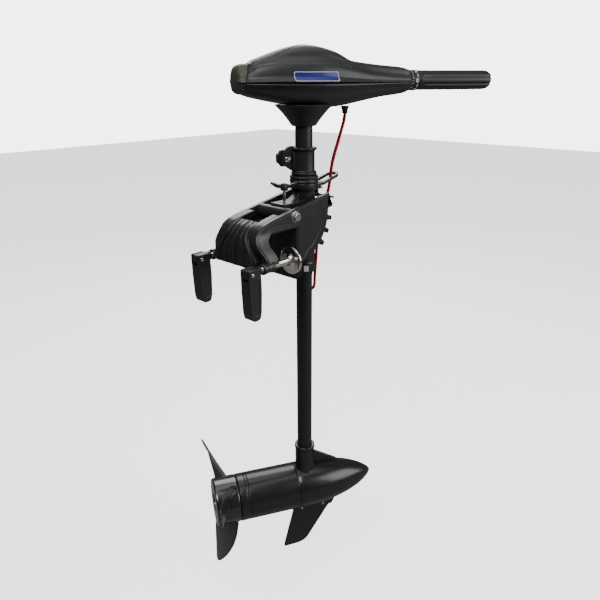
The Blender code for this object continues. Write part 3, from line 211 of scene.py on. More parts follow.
def material(name, colour, rough, metallic=0.0, grain=0.0, grain_scale=1400.0, vary=0.12,
             rough_vary=0.06, scratch=0.0, edge=0.0005, wave=None, coat=0.0,
             gloss=0.32):
    """A procedural surface: a colour and roughness that vary softly, a fine grain, rounded
    edges, and for metal fine scratches."""
    made = bpy.data.materials.new(name)
    made.use_nodes = True
    tree = made.node_tree
    shader = tree.nodes["Principled BSDF"]
    link = tree.links.new

    def node(kind, **values):
        new = tree.nodes.new(kind)
        for key, value in values.items():
            if key in new.inputs:
                new.inputs[key].default_value = value
            else:
                setattr(new, key, value)
        return new

    place = node("ShaderNodeTexCoord")
    soft = node("ShaderNodeTexNoise", Scale=38.0, Detail=3.0, Roughness=0.55)
    fine = node("ShaderNodeTexNoise", Scale=grain_scale, Detail=4.0, Roughness=0.6)
    link(place.outputs["Object"], soft.inputs["Vector"])
    link(place.outputs["Object"], fine.inputs["Vector"])
    both = node("ShaderNodeMix", data_type="FLOAT")
    both.inputs[0].default_value = 0.35
    link(soft.outputs["Fac"], both.inputs[2])
    link(fine.outputs["Fac"], both.inputs[3])
    ramp = node("ShaderNodeValToRGB")
    ramp.color_ramp.elements[0].position = 0.3
    ramp.color_ramp.elements[1].position = 0.7
    ramp.color_ramp.elements[0].color = (*[c * (1 - vary) for c in colour], 1)
    ramp.color_ramp.elements[1].color = (*[min(1, c * (1 + vary)) for c in colour], 1)
    link(both.outputs[0], ramp.inputs["Fac"])
    link(ramp.outputs["Color"], shader.inputs["Base Color"])
    spread = node("ShaderNodeMapRange")
    spread.inputs["To Min"].default_value = max(0.02, rough - rough_vary)
    spread.inputs["To Max"].default_value = min(1.0, rough + rough_vary)
    link(both.outputs[0], spread.inputs["Value"])
    link(spread.outputs["Result"], shader.inputs["Roughness"])
    shader.inputs["Metallic"].default_value = metallic
    shader.inputs["IOR"].default_value = 1.5
    if not metallic:
        shader.inputs["Specular IOR Level"].default_value = gloss
    shader.inputs["Coat Weight"].default_value = coat
    normal = None
    if edge:
        normal = node("ShaderNodeBevel", samples=4)
        normal.inputs["Radius"].default_value = edge
    heights = []
    if grain:
        heights.append((fine.outputs["Fac"], grain, 0.0002))
    if scratch:
        stretch = node("ShaderNodeMapping")
        stretch.inputs["Scale"].default_value = (260.0, 260.0, 2400.0)
        link(place.outputs["Object"], stretch.inputs["Vector"])
        lines = node("ShaderNodeTexNoise", Scale=1.0, Detail=2.0)
        link(stretch.outputs["Vector"], lines.inputs["Vector"])
        heights.append((lines.outputs["Fac"], scratch, 0.0001))
    if wave:
        bands = node("ShaderNodeTexWave", wave_type="BANDS", bands_direction=wave[0])
        bands.inputs["Scale"].default_value = wave[1]
        link(place.outputs["Object"], bands.inputs["Vector"])
        heights.append((bands.outputs["Fac"], wave[2], 0.0004))
    for source, strength, distance in heights:
        bump = node("ShaderNodeBump")
        bump.inputs["Strength"].default_value = strength
        bump.inputs["Distance"].default_value = distance
        link(source, bump.inputs["Height"])
        if normal:
            link(normal.outputs["Normal"], bump.inputs["Normal"])
        normal = bump
    if normal:
        link(normal.outputs["Normal"], shader.inputs["Normal"])
    MATERIALS[name] = made


material("bracket_black", (0.0125, 0.0135, 0.014), 0.36, grain=0.22, edge=0.0008, gloss=0.45)
material("column_black", (0.012, 0.013, 0.0145), 0.4, grain=0.14, edge=0.0006)
material("motor_black", (0.01, 0.0105, 0.011), 0.26, grain=0.08, grain_scale=900.0, edge=0.0007,
    rough_vary=0.04, gloss=0.5)
material("head_charcoal", (0.018, 0.0186, 0.0196), 0.4, grain=0.26, grain_scale=1700.0, edge=0.0009)
material("cap_olive", (0.042, 0.043, 0.03), 0.48, grain=0.22, edge=0.0008)
material("label_blue", (0.012, 0.016, 0.135), 0.3, vary=0.06, edge=0.0)
material("label_border", (0.36, 0.37, 0.41), 0.35, vary=0.05, edge=0.0)
material("grip_black", (0.012, 0.0123, 0.013), 0.42, grain=0.34, grain_scale=1500.0, edge=0.0008)
material("dial_black", (0.015, 0.015, 0.016), 0.4, grain=0.16, edge=0.0005)
material("mark_white", (0.68, 0.69, 0.7), 0.5, vary=0.05, edge=0.0)
material("prop_grey", (0.016, 0.0168, 0.018), 0.22, grain=0.05, grain_scale=700.0, edge=0.0008,
    rough_vary=0.04, coat=0.5, gloss=0.6)
material("chrome", (0.74, 0.71, 0.65), 0.17, 1.0, scratch=0.16, vary=0.05, edge=0.0004)
material("steel", (0.46, 0.46, 0.45), 0.3, 1.0, scratch=0.24, vary=0.08, edge=0.0004)
material("nut_copper", (0.32, 0.135, 0.1), 0.38, 1.0, scratch=0.2, vary=0.1, edge=0.0004)
material("nylon_white", (0.62, 0.62, 0.59), 0.45, grain=0.1, vary=0.05, edge=0.0005)
material("rubber_black", (0.008, 0.008, 0.008), 0.66, grain=0.3, edge=0.0004)
material("lead_red", (0.56, 0.01, 0.03), 0.36, grain=0.08, vary=0.09, edge=0.0)
material("lead_black", (0.008, 0.008, 0.0085), 0.36, grain=0.08, vary=0.09, edge=0.0)
material("copper", (0.52, 0.24, 0.12), 0.4, 1.0, wave=("Z", 300.0, 0.4), edge=0.0)
material("magnet_grey", (0.09, 0.09, 0.095), 0.6, grain=0.3)
material("switch_plastic", (0.03, 0.029, 0.027), 0.52, grain=0.2)


# --- Shapes -------------------------------------------------------------------------------

def shaded(obj, angle=34):
    obj.data.shade_smooth()
    obj.data.set_sharp_from_angle(angle=math.radians(angle))
    return obj


def linked(name, data):
    """A new object in the scene that holds data."""
    obj = bpy.data.objects.new(name, data)
    bpy.context.scene.collection.objects.link(obj)
    return obj


def extruded(bm, points, vec):
    """Adds to bm the solid swept along vec from the face with these corners."""
    face = bm.faces.new([bm.verts.new(point) for point in points])
    raised = bmesh.ops.extrude_face_region(bm, geom=[face])
    moved = [v for v in raised["geom"] if isinstance(v, bmesh.types.BMVert)]
    bmesh.ops.translate(bm, vec=vec, verts=moved)


def sliced(bm, normal, distances):
    """Cuts the faces of bm by planes across normal, so that they can bend there."""
    for distance in distances:
        everything = list(bm.verts) + list(bm.edges) + list(bm.faces)
        bmesh.ops.bisect_plane(bm, geom=everything, plane_co=Vector(normal) * distance,
            plane_no=normal, dist=0.00001)


def placed(bm, name, finish, place=None, angle=34):
    """A mesh object from bm with its material and, once moved to its place, no transform."""
    mesh = bpy.data.meshes.new(name)
    if place is not None:
        bmesh.ops.transform(bm, matrix=place, verts=bm.verts)
    bmesh.ops.recalc_face_normals(bm, faces=bm.faces)
    bm.to_mesh(mesh)
    bm.free()
    mesh.materials.append(MATERIALS[finish])
    obj = linked(name, mesh)
    return shaded(obj, angle)


def bevelled(obj, width, segments=3, angle=30):
    edge = obj.modifiers.new("edges", "BEVEL")
    edge.width = width
    edge.segments = segments
    edge.limit_method = "ANGLE"
    edge.angle_limit = math.radians(angle)
    edge.harden_normals = False
    return obj


def baked(obj, angle=34):
    """obj with its modifiers applied."""
    graph = bpy.context.evaluated_depsgraph_get()
    mesh = bpy.data.meshes.new_from_object(obj.evaluated_get(graph))
    old = obj.data
    obj.modifiers.clear()
    obj.data = mesh
    bpy.data.meshes.remove(old)
    return shaded(obj, angle)


def combined(target, *others, operation="UNION"):
    """target joined with the others, or cut by them; the others are used up."""
    for other in others:
        step = target.modifiers.new("step", "BOOLEAN")
        step.operation = operation
        step.solver = "EXACT"
        step.object = other
        target = baked(target)
        bpy.data.objects.remove(other, do_unlink=True)
    return target


def cut(target, *others):
    return combined(target, *others, operation="DIFFERENCE")


def lathe(name, profile, start, end, finish, ease=0.0006, steps=96, angle=34):
    """A solid turned about the line from start to end, from (radius, height) pairs; a profile
    with no point on the axis closes on itself, as a tube does."""
    hollow = min(r for r, _ in profile) > 1e-6
    line = eased(profile, ease, closed=hollow) if ease else list(profile)
    bm = bmesh.new()
    rings = []
    for r, h in line:
        if r < 1e-6:
            rings.append([bm.verts.new((0, 0, h))])
        else:
            rings.append([bm.verts.new((r * math.cos(2 * math.pi * i / steps),
                r * math.sin(2 * math.pi * i / steps), h)) for i in range(steps)])
    pairs = list(zip(rings, rings[1:]))
    if hollow:
        pairs.append((rings[-1], rings[0]))
    for low, high in pairs:
        for i in range(steps):
            k = (i + 1) % steps
            corners = []
            for vert in (low[i % len(low)], low[k % len(low)], high[k % len(high)],
                         high[i % len(high)]):
                if vert not in corners:
                    corners.append(vert)
            if len(corners) > 2:
                bm.faces.new(corners)
    return placed(bm, name, finish, along(start, end), angle)


def plate(name, points, thickness, finish, place, bevel=0.0006, ease=0.0):
    """A flat plate from a closed outline, thickness thick about the outline's own plane."""
    line = eased(points, ease, closed=True) if ease else points
    bm = bmesh.new()
    extruded(bm, [(x, y, -thickness / 2) for x, y in line], (0, 0, thickness))
    obj = placed(bm, name, finish, place)
    return bevelled(obj, bevel) if bevel else obj


def block(name, low, high, finish, bevel=0.0006, place=None):
    low, high = Vector(low), Vector(high)
    bm = bmesh.new()
    bmesh.ops.create_cube(bm, size=1.0)
    bmesh.ops.scale(bm, vec=high - low, verts=bm.verts)
    bmesh.ops.translate(bm, vec=(low + high) / 2, verts=bm.verts)
    obj = placed(bm, name, finish, place)
    return bevelled(obj, bevel) if bevel else obj


def rod(name, start, end, radius, finish, ease=0.0005, steps=48, end_radius=None):
    length = (Vector(end) - Vector(start)).length
    far = radius if end_radius is None else end_radius
    return lathe(name, [(0, 0), (radius, 0), (far, length), (0, length)], start, end, finish, ease,
        steps)


def hexagon(name, start, end, radius, finish, bevel=0.0005):
    length = (Vector(end) - Vector(start)).length
    points = arc((0, 0), radius, 0, 300, 5)
    return plate(name, points, length, finish, along(start, end) @ Matrix.Translation((0, 0,
        length / 2)), bevel)


def loft(name, rings, finish, caps=True, angle=34):
    """A skin over rings of points, each with as many as the next."""
    bm = bmesh.new()
    rows = [[bm.verts.new(p) for p in ring] for ring in rings]
    count = len(rows[0])
    for low, high in zip(rows, rows[1:]):
        for j in range(count):
            k = (j + 1) % count
            bm.faces.new((low[j], low[k], high[k], high[j]))
    if caps:
        bm.faces.new(rows[0][::-1])
        bm.faces.new(rows[-1])
    return placed(bm, name, finish, None, angle)


def tube(name, points, radius, finish, sides=3):
    """A round wire as a mesh along points."""
    curve = bpy.data.curves.new(name, "CURVE")
    curve.dimensions = "3D"
    curve.bevel_depth = radius
    curve.bevel_resolution = sides
    curve.use_fill_caps = True
    curve.twist_mode = "MINIMUM"
    spline = curve.splines.new("POLY")
    spline.points.add(len(points) - 1)
    for point, spot in zip(spline.points, points):
        point.co = (*spot, 1.0)
    holder = linked(name, curve)
    graph = bpy.context.evaluated_depsgraph_get()
    mesh = bpy.data.meshes.new_from_object(holder.evaluated_get(graph))
    bpy.data.objects.remove(holder, do_unlink=True)
    bpy.data.curves.remove(curve)
    mesh.name = name
    mesh.materials.clear()
    mesh.materials.append(MATERIALS[finish])
    obj = linked(name, mesh)
    return shaded(obj, 60)


def refined(node, name, finish, bevel=0.0006, angle=28, segments=3):
    """A copy of a CAD node's shape with its flat faces made whole and its edges rounded."""
    bm = bmesh.new()
    bm.from_mesh(frame["nodes"][node].data)
    bmesh.ops.remove_doubles(bm, verts=bm.verts, dist=0.00002)
    bmesh.ops.dissolve_limit(bm, angle_limit=math.radians(1.5), verts=bm.verts, edges=bm.edges)
    obj = placed(bm, name, finish, None, angle)
    return bevelled(obj, bevel, segments, angle) if bevel else obj


def fit(obj, body, *nodes, slot=None):
    """obj rides on body and stands for the CAD nodes. The slot argument is not used."""
    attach(obj, body)
    if nodes:
        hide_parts(*nodes)


# --- Camera, light and floor --------------------------------------------------------------

def camera():
    data = bpy.data.cameras.new("camera")
    data.lens = 33.009
    data.sensor_width = 36.0
    data.clip_start, data.clip_end = 0.05, 50.0
    obj = linked("camera", data)
    across = Vector((0.67568, -0.73717, -0.0052)).normalized()
    upward = Vector((0.27612, 0.24653, 0.92897)).normalized()
    back = across.cross(upward).normalized()
    upward = back.cross(across)
    turn = Matrix((across, upward, back)).transposed().to_4x4()
    obj.matrix_world = Matrix.Translation((-0.61151, -0.60968, 0.252)) @ turn
    bpy.context.scene.camera = obj


def softbox(name, spot, target, power, size, size_y=None):
    data = bpy.data.lights.new(name, "AREA")
    data.shape = "RECTANGLE"
    data.size = size
    data.size_y = size_y or size
    data.energy = power
    obj = linked(name, data)
    spot, target = Vector(spot), Vector(target)
    obj.matrix_world = (Matrix.Translation(spot) @ (target - spot).to_track_quat("-Z",
        "Y").to_matrix().to_4x4())


def studio():
    """A white world, a pale floor well below the motor and large soft lights round it."""
    world = bpy.data.worlds.new("studio")
    world.use_nodes = True
    bpy.context.scene.world = world
    tree = world.node_tree
    surface = tree.nodes["Background"]
    surface.inputs["Color"].default_value = (1.0, 1.0, 1.0, 1.0)
    surface.inputs["Strength"].default_value = 0.1
    seen = tree.nodes.new("ShaderNodeBackground")
    seen.inputs["Color"].default_value = (1.0, 1.0, 1.0, 1.0)
    seen.inputs["Strength"].default_value = 5.0
    which = tree.nodes.new("ShaderNodeMixShader")
    path = tree.nodes.new("ShaderNodeLightPath")
    tree.links.new(path.outputs["Is Camera Ray"], which.inputs["Fac"])
    tree.links.new(surface.outputs["Background"], which.inputs[1])
    tree.links.new(seen.outputs["Background"], which.inputs[2])
    tree.links.new(which.outputs["Shader"], tree.nodes["World Output"].inputs["Surface"])
    bm = bmesh.new()
    bmesh.ops.create_grid(bm, x_segments=1, y_segments=1, size=9.0)
    floor = placed(bm, "floor", "nylon_white", Matrix.Translation((0, 0, FLOOR_Z)))
    paint = bpy.data.materials.new("floor_paint")
    paint.use_nodes = True
    shader = paint.node_tree.nodes["Principled BSDF"]
    shader.inputs["Base Color"].default_value = (0.2, 0.2, 0.2, 1.0)
    shader.inputs["Roughness"].default_value = 0.9
    glow = paint.node_tree.nodes.new("ShaderNodeBsdfDiffuse")
    glow.inputs["Color"].default_value = (0.93, 0.93, 0.93, 1.0)
    light = paint.node_tree.nodes.new("ShaderNodeEmission")
    light.inputs["Strength"].default_value = 1.7
    lit = paint.node_tree.nodes.new("ShaderNodeAddShader")
    pick = paint.node_tree.nodes.new("ShaderNodeMixShader")
    ray = paint.node_tree.nodes.new("ShaderNodeLightPath")
    wire = paint.node_tree.links.new
    wire(glow.outputs["BSDF"], lit.inputs[0])
    wire(light.outputs["Emission"], lit.inputs[1])
    wire(ray.outputs["Is Camera Ray"], pick.inputs["Fac"])
    wire(shader.outputs["BSDF"], pick.inputs[1])
    wire(lit.outputs["Shader"], pick.inputs[2])
    wire(pick.outputs["Shader"], paint.node_tree.nodes["Material Output"].inputs["Surface"])
    floor.data.materials.clear()
    floor.data.materials.append(paint)
    softbox("key", (-1.5, -0.6, 1.9), (0.05, 0, 0.0), 50.0, 1.5, 1.1)
    softbox("fill", (0.9, -1.9, 0.7), (0.05, 0, -0.05), 44.0, 1.7, 1.5)
    softbox("rim", (1.3, 1.5, 1.3), (0.05, 0, -0.1), 30.0, 1.4)
    softbox("top", (0.1, 0.0, 2.4), (0.1, 0, 0.0), 24.0, 2.2)


camera()
studio()


# --- Battery leads ------------------------------------------------------------------------

# The pair's route: out of the head, through the lock lever's loop and down behind the column.
LEAD_ROUTE = [(0.1218, -0.0345, 0.201), (0.121, -0.033, 0.19), (0.1195, -0.029, 0.175),
    (0.1185, -0.024, 0.158), (0.119, -0.0175, 0.141), (0.1225, -0.01, 0.125),
    (0.1255, -0.0045, 0.108), (0.1262, -0.002, 0.092), (0.1225, 0.0, 0.07), (0.1155, 0.0025, 0.044),
    (0.1085, 0.006, 0.015), (0.1062, 0.009, -0.02), (0.1078, 0.013, -0.055),
    (0.1088, 0.0162, -0.082), (0.1088, 0.017, -0.097), (0.1069, 0.0187, -0.1038),
    (0.1022, 0.0229, -0.1068), (0.0974, 0.0271, -0.1038), (0.0955, 0.0288, -0.097)]
LEAD_R = 0.0019
LEAD_SPACING = 0.0043
LEAD_PHASE_DEG = 118.0
HANK_OUT = Vector((0.7415, 0.671, 0.0))
HANK_ACROSS = HANK_OUT.cross(UP)
HANK_MIDDLE_Z = -0.0473
HANK_R = 0.0114
HANK_STRAIGHT = 0.0298


def lead_routes():
    """The two leads, side by side along their shared route."""
    middle = smooth_route(LEAD_ROUTE, 0.0068)
    turn = math.radians(LEAD_PHASE_DEG)
    routes = ([], [])
    for i, point in enumerate(middle):
        before = middle[max(0, i - 1)]
        after = middle[min(len(middle) - 1, i + 1)]
        tangent = (after - before).normalized()
        across = tangent.cross(Vector((0, 1, 0))).normalized()
        other = tangent.cross(across)
        offset = (across * math.cos(turn) + other * math.sin(turn)) * LEAD_SPACING / 2
        routes[0].append(point + offset)
        routes[1].append(point - offset)
    return routes


def in_hank(r, v, z):
    """A point by its distance across the hank, out from the column and above its middle."""
    return (Vector((COLUMN_X, 0, HANK_MIDDLE_Z)) + HANK_ACROSS * r + HANK_OUT * v
        + Vector((0, 0, z)))


def hank_loops(first_v, last_v, loops, end_v):
    """A lead's folds: from inside the hank round and round, then down into its terminal."""
    found = [in_hank(-0.002, 0.045 * 0.5 + first_v * 0.5, -0.03), in_hank(-0.007, first_v, -0.014)]
    lap = 4 * HANK_STRAIGHT + 2 * math.pi * HANK_R
    half_turn = math.pi * HANK_R
    start = HANK_STRAIGHT
    total = lap * loops
    count = int(total / 0.0045)
    for i in range(count + 1):
        s = start + total * i / count
        v = first_v + (last_v - first_v) * i / count
        p = s % lap
        if p < 2 * HANK_STRAIGHT:
            r, z = -HANK_R, p - HANK_STRAIGHT
        elif p < 2 * HANK_STRAIGHT + half_turn:
            turn = math.pi - (p - 2 * HANK_STRAIGHT) / HANK_R
            r, z = HANK_R * math.cos(turn), HANK_STRAIGHT + HANK_R * math.sin(turn)
        elif p < 4 * HANK_STRAIGHT + half_turn:
            r, z = HANK_R, HANK_STRAIGHT - (p - 2 * HANK_STRAIGHT - half_turn)
        else:
            turn = -(p - 4 * HANK_STRAIGHT - half_turn) / HANK_R
            r, z = HANK_R * math.cos(turn), -HANK_STRAIGHT + HANK_R * math.sin(turn)
        found.append(in_hank(r, v, z))
    found += [in_hank(0.0094, last_v + (end_v - last_v) * 0.45, -0.019),
        in_hank(0.0066, last_v + (end_v - last_v) * 0.9, -0.032), in_hank(0.006, end_v, -0.04),
        in_hank(0.006, end_v, -0.0455)]
    return found


def leads():
    # Each lead's side of the pair, how far out its first and last folds lie, its laps and its end.
    settings = (("red", 0, 0.0536, 0.0206, 3.55, 0.024), ("black", 1, 0.0497, 0.0246, 3.55, 0.032))
    for colour, which, first_v, last_v, loops, end_v in settings:
        route = lead_routes()[which]
        split = max(i for i, point in enumerate(route) if point.z > 0.156)
        finish = "lead_" + colour
        top = smooth_route([route[0] + Vector((0, 0, 0.004))] + route[:split + 1], 0.002)
        piece = tube(f"lead_{colour}_top", top, LEAD_R, finish)
        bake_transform(piece)
        rest = smooth_route(route[split:] + hank_loops(first_v, last_v, loops, end_v), 0.0021)
        ends = terminal(colour, in_hank(0.006, end_v, 0.0))
        piece = tube(f"lead_{colour}_main", rest, LEAD_R, finish)
        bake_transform(piece)
        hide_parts(finish, *(["lead_hank"] if colour == "red" else []))


def terminal(colour, top):
    """A ring terminal: its crimped barrel with a sleeve, and its flat eye."""
    top = Vector((top.x, top.y, -0.0885))
    sleeve = lathe(f"terminal_{colour}_sleeve", mm((0, 1.8), (2.3, 1.8), (2.8, 1), (2.8, -7),
        (2.4, -8), (0, -8)), top, top + UP, "lead_" + colour, 0.0005, 32)
    middle = top - Vector((0, 0, 0.0185))
    eye = lathe(f"terminal_{colour}_ring", mm((5.8, 0.6), (5.8, -0.6), (3.3, -0.6), (3.3, 0.6)),
        middle, middle + HANK_OUT, "steel", 0.0002, 48)
    neck = block("neck", (-0.0021, -0.0008, -0.0135), (0.0021, 0.0008, -0.0065), "steel", 0.0003,
        Matrix.Translation(top) @ HANK_ACROSS.to_track_quat("X", "Z").to_matrix().to_4x4())
    eye = combined(eye, baked(neck))
    fit(sleeve, "swivel", slot="lead_" + colour)
    fit(eye, "swivel", "terminal_" + colour, slot="steel")
    return [sleeve, eye]


def hank_ties():
    """Two straps round the folds, each with a small head, close against the swivel's sleeve."""
    for number, z in enumerate((0.017, -0.019)):
        low_v, high_v, wide = 0.0188, 0.0562, 0.0142
        outline = [(-wide, low_v), (-wide, high_v), (wide, high_v), (wide, low_v)]
        outer = eased(outline, 0.0045, closed=True, steps=6)
        rings = []
        for dz, grow in ((-0.0018, 0.0), (-0.0018, 0.0009), (0.0018, 0.0009), (0.0018, 0.0)):
            ring = []
            for r, v in outer:
                centre_v = (low_v + high_v) / 2
                ring.append(in_hank(r * (1 + grow / wide), centre_v
                    + (v - centre_v) * (1 + grow / 0.0187), z + dz))
            rings.append(ring)
        fit(loft(f"hank_tie_{number + 1}", rings + [rings[0]], "rubber_black", caps=False),
            "swivel")
        buckle = block(f"hank_tie_{number + 1}_head", (0.0138, 0.045, -0.0024),
            (0.0166, 0.05, 0.0024), "rubber_black", 0.0005)
        turn = Matrix((HANK_ACROSS, HANK_OUT, UP)).transposed().to_4x4()
        buckle.data.transform(Matrix.Translation((COLUMN_X, 0, HANK_MIDDLE_Z + z)) @ turn)
        fit(buckle, "swivel", slot="rubber_black")


leads()
hank_ties()


# --- Transom bracket ----------------------------------------------------------------------

PLATE_FRONT = mm((-52, 60), (-69, 55.5), (-80, 49.5), (-86.5, 41.5), (-89.5, 32.5), (-88, 21.5),
    (-83, 10), (-82, -2))
THROAT_FRONT = mm((-58, -2), (-60, 8), (-66.5, 25), (-65, 33), (-57, 40))
SPLAY = 0.02


def splay_share(z):
    return smoothstep((0.046 - z) / 0.044)


def splayed(obj, behind_x=-0.052):
    """Leans a clamp arm outwards below its bend, so that it ends in line with its screw."""
    for vertex in obj.data.vertices:
        reach = smoothstep((behind_x + 0.004 - vertex.co.x) / 0.012)
        vertex.co.y += math.copysign(SPLAY * splay_share(vertex.co.z) * reach, vertex.co.y)
    return obj


def toothed_arc():
    centre = (TILT_X, TILT_Z)
    points = arc(centre, 0.086, 17.0, 14.0, 1)
    for i in range(4):
        middle = 3.5 - 14.4 * i
        points += arc(centre, 0.08, middle + 2.9, middle + 2.9, 1)[:1]
        points += arc(centre, 0.0905, middle + 2.3, middle - 2.3, 1)
        points += arc(centre, 0.08, middle - 2.9, middle - 2.9, 1)[:1]
        if i < 3:
            points += arc(centre, 0.08, middle - 5.0, middle - 9.4, 2)
    points += arc(centre, 0.079, -46.0, -80.0, 6)
    return points


def side_plates():
    """The two arms: a raised rim round a sunk panel, an arc and two stepped ridges on it."""
    rear = toothed_arc()
    lower = mm((9, -21.5), (6, -46), (0, -46), (0, 40))
    whole = rear + lower + THROAT_FRONT[::-1] + PLATE_FRONT[::-1]
    line = eased(whole, 0.0014, closed=True, steps=2)
    for side, sign in SIDES:
        bm = bmesh.new()
        extruded(bm, [(x, z, 0) for x, z in line], (0, 0, 0.006))
        bm.normal_update()
        top = max(bm.faces, key=lambda f: f.calc_center_median().z)
        bmesh.ops.inset_region(bm, faces=[top], thickness=0.0024, depth=0.0)
        bmesh.ops.inset_region(bm, faces=[top], thickness=0.0005, depth=-0.0014)
        place = Matrix.Translation((0, sign * 0.034, 0)) @ Matrix(((1, 0, 0, 0), (0, 0, sign, 0),
            (0, 1, 0, 0), (0, 0, 0, 1)))
        bmesh.ops.transform(bm, matrix=place, verts=bm.verts)
        sliced(bm, (0, 0, 1), [-0.002 + 0.0032 * i for i in range(16)])
        sliced(bm, (1, 0, 0), (-0.05, -0.056, -0.062))
        arm = placed(bm, f"side_plate_{side}_casting", "bracket_black")
        bevelled(arm, 0.0006, 2, 40)
        splayed(arm)
        fit(arm, "bracket", f"side_plate_{side}")
        rim = [(x + 0.0052, z - 0.0015 * (x > -0.07)) for x, z in PLATE_FRONT]
        band = [(-0.03, 0.064)] + PLATE_FRONT + rim[::-1] + [(-0.03, 0.0595)]
        fit(splayed(baked(plate(f"side_plate_{side}_lip", eased(band, 0.004, closed=True, steps=3),
            0.0136, "bracket_black", in_xz(sign * 0.0282), 0.0008)), -0.03), "bracket")
        ridge_y = sign * 0.0402
        ridge = arc((TILT_X, TILT_Z), 0.0665, 2.0, -66.0, 26)
        path = [Vector((x, ridge_y, z)) for x, z in ridge]
        path += [Vector((0.0115, ridge_y, -0.018)), Vector((0.008, ridge_y, -0.042))]
        wire_ridge(f"side_plate_{side}_ridge", path, 0.0017)
        for number, step in enumerate((0.0042, 0.0086)):
            throat = [(0.0002 + step, -0.04), (0.0002 + step, 0.04 + step * 0.6),
                (-0.03, 0.0402 + step), (-0.057 - step * 0.2, 0.0404 + step),
                (-0.0655 - step * 0.9, 0.0345 + step * 0.4), (-0.067 - step, 0.025),
                (-0.0612 - step, 0.0085), (-0.059 - step, 0.002)]
            smooth = eased(throat, 0.008, steps=5)
            path = []
            for (x0, z0), (x1, z1) in zip(smooth, smooth[1:]):
                count = max(1, int(math.hypot(x1 - x0, z1 - z0) / 0.004))
                path += [Vector((x0 + (x1 - x0) * k / count, ridge_y, z0 + (z1 - z0) * k / count))
                    for k in range(count)]
            wire_ridge(f"side_plate_{side}_throat_ridge_{number + 1}", path, 0.0015)
        clamp_boss(side, sign)


def wire_ridge(name, path, radius):
    """A rounded rib half sunk in a plate, which follows its splay."""
    fit(splayed(tube(name, path, radius, "bracket_black", 2)), "bracket")


def clamp_boss(side, sign):
    y, z = sign * CLAMP_Y, CLAMP_Z
    fit(lathe(f"clamp_boss_{side}", mm((4.8, 0), (7.2, 0), (8.5, 1.2), (8.5, 6), (7.8, 7),
        (7.8, 16), (8.5, 17), (8.5, 22), (7.5, 23.2), (4.8, 23.2)), (-0.093, y, z), (0, y, z),
        "bracket_black", 0.0005), "bracket")
    fit(block(f"clamp_boss_{side}_web", (-0.082, y - 0.0032, 0.0), (-0.0595, y + 0.0032, 0.0095),
        "bracket_black", 0.0012), "bracket")


def apron():
    """The curved wall between the arms, with a rib in the middle, one by each arm and two low ones."""
    outer = mm((-60, 56), (-76, 50), (-86.5, 41), (-91.8, 29), (-93.8, 15), (-94.5, -6))
    line = [(v.x, v.y) for v in smooth_route([(x, z, 0) for x, z in outer], 0.0022)]

    def sheet(name, y_from, y_to, front, back, count):
        rings = []
        for x, z in line:
            spread = 1 + (SPLAY / 0.0213) * splay_share(z)
            ring = []
            for i in range(count + 1):
                y = y_from + (y_to - y_from) * i / count
                ring.append(Vector((x - front, y * spread, z + front * 0.3)))
            for i in range(count, -1, -1):
                y = y_from + (y_to - y_from) * i / count
                ring.append(Vector((x + back, y * spread, z - back * 0.45)))
            rings.append(ring)
        return loft(name, rings, "bracket_black")

    wall = sheet("front_apron_wall", -0.0213, 0.0213, 0.0, 0.0042, 12)
    fit(bevelled(wall, 0.0008, 2, 40), "bracket", "front_apron", slot="bracket_black")
    for number, (low, high) in enumerate(((-0.0016, 0.0016), (-0.0208, -0.018),
                                          (0.018, 0.0208), (-0.0112, -0.0092),
                                          (0.0092, 0.0112))):
        rib = sheet(f"front_apron_rib_{number + 1}", low, high, 0.0022 if number < 3 else 0.0012,
            0.003, 2)
        fit(bevelled(rib, 0.0006, 2, 40), "bracket", slot="bracket_black")


def apron_returns():
    """The narrow walls that close the gap between the apron's edges and the arms."""
    outline = mm((-70, 50), (-80, 46), (-86.5, 40.5), (-91.5, 29), (-93.2, 15), (-93.8, -2),
        (-79, -2), (-80, 10), (-85, 21.5), (-86, 31), (-83, 38.5), (-76, 45))
    for side, sign in SIDES:
        bm = bmesh.new()
        extruded(bm, [(x, 0.0214 * sign, z) for x, z in outline], (0, 0.0024 * sign, 0))
        sliced(bm, (0, 0, 1), [0.0032 * i for i in range(16)])
        wall = placed(bm, f"front_apron_return_{side}", "bracket_black")
        splayed(wall, -0.03)
        fit(bevelled(wall, 0.0005, 2, 40), "bracket", slot="bracket_black")


def saddle():
    """The hook over the transom and the wall behind it, with ribs behind and bands on its face."""
    angle = mm((-52, 46), (-52, 40), (0, 40), (0, -46), (6, -46), (6, 46))
    fit(plate("transom_hook", angle, 0.0674, "bracket_black", in_xz(0.0), 0.0009), "bracket",
        "transom_saddle")
    for i in range(4):
        y = -0.024 + 0.016 * i
        fit(block(f"transom_wall_rib_{i + 1}", (0.005, y - 0.0015, -0.044),
            (0.01, y + 0.0015, 0.038), "bracket_black", 0.0006), "bracket")
    for i in range(5):
        z = -0.04 + 0.016 * i
        fit(block(f"transom_face_band_{i + 1}", (0.0002, -0.0325, z), (0.0012, 0.0325, z + 0.009),
            "bracket_black", 0.0004), "bracket")


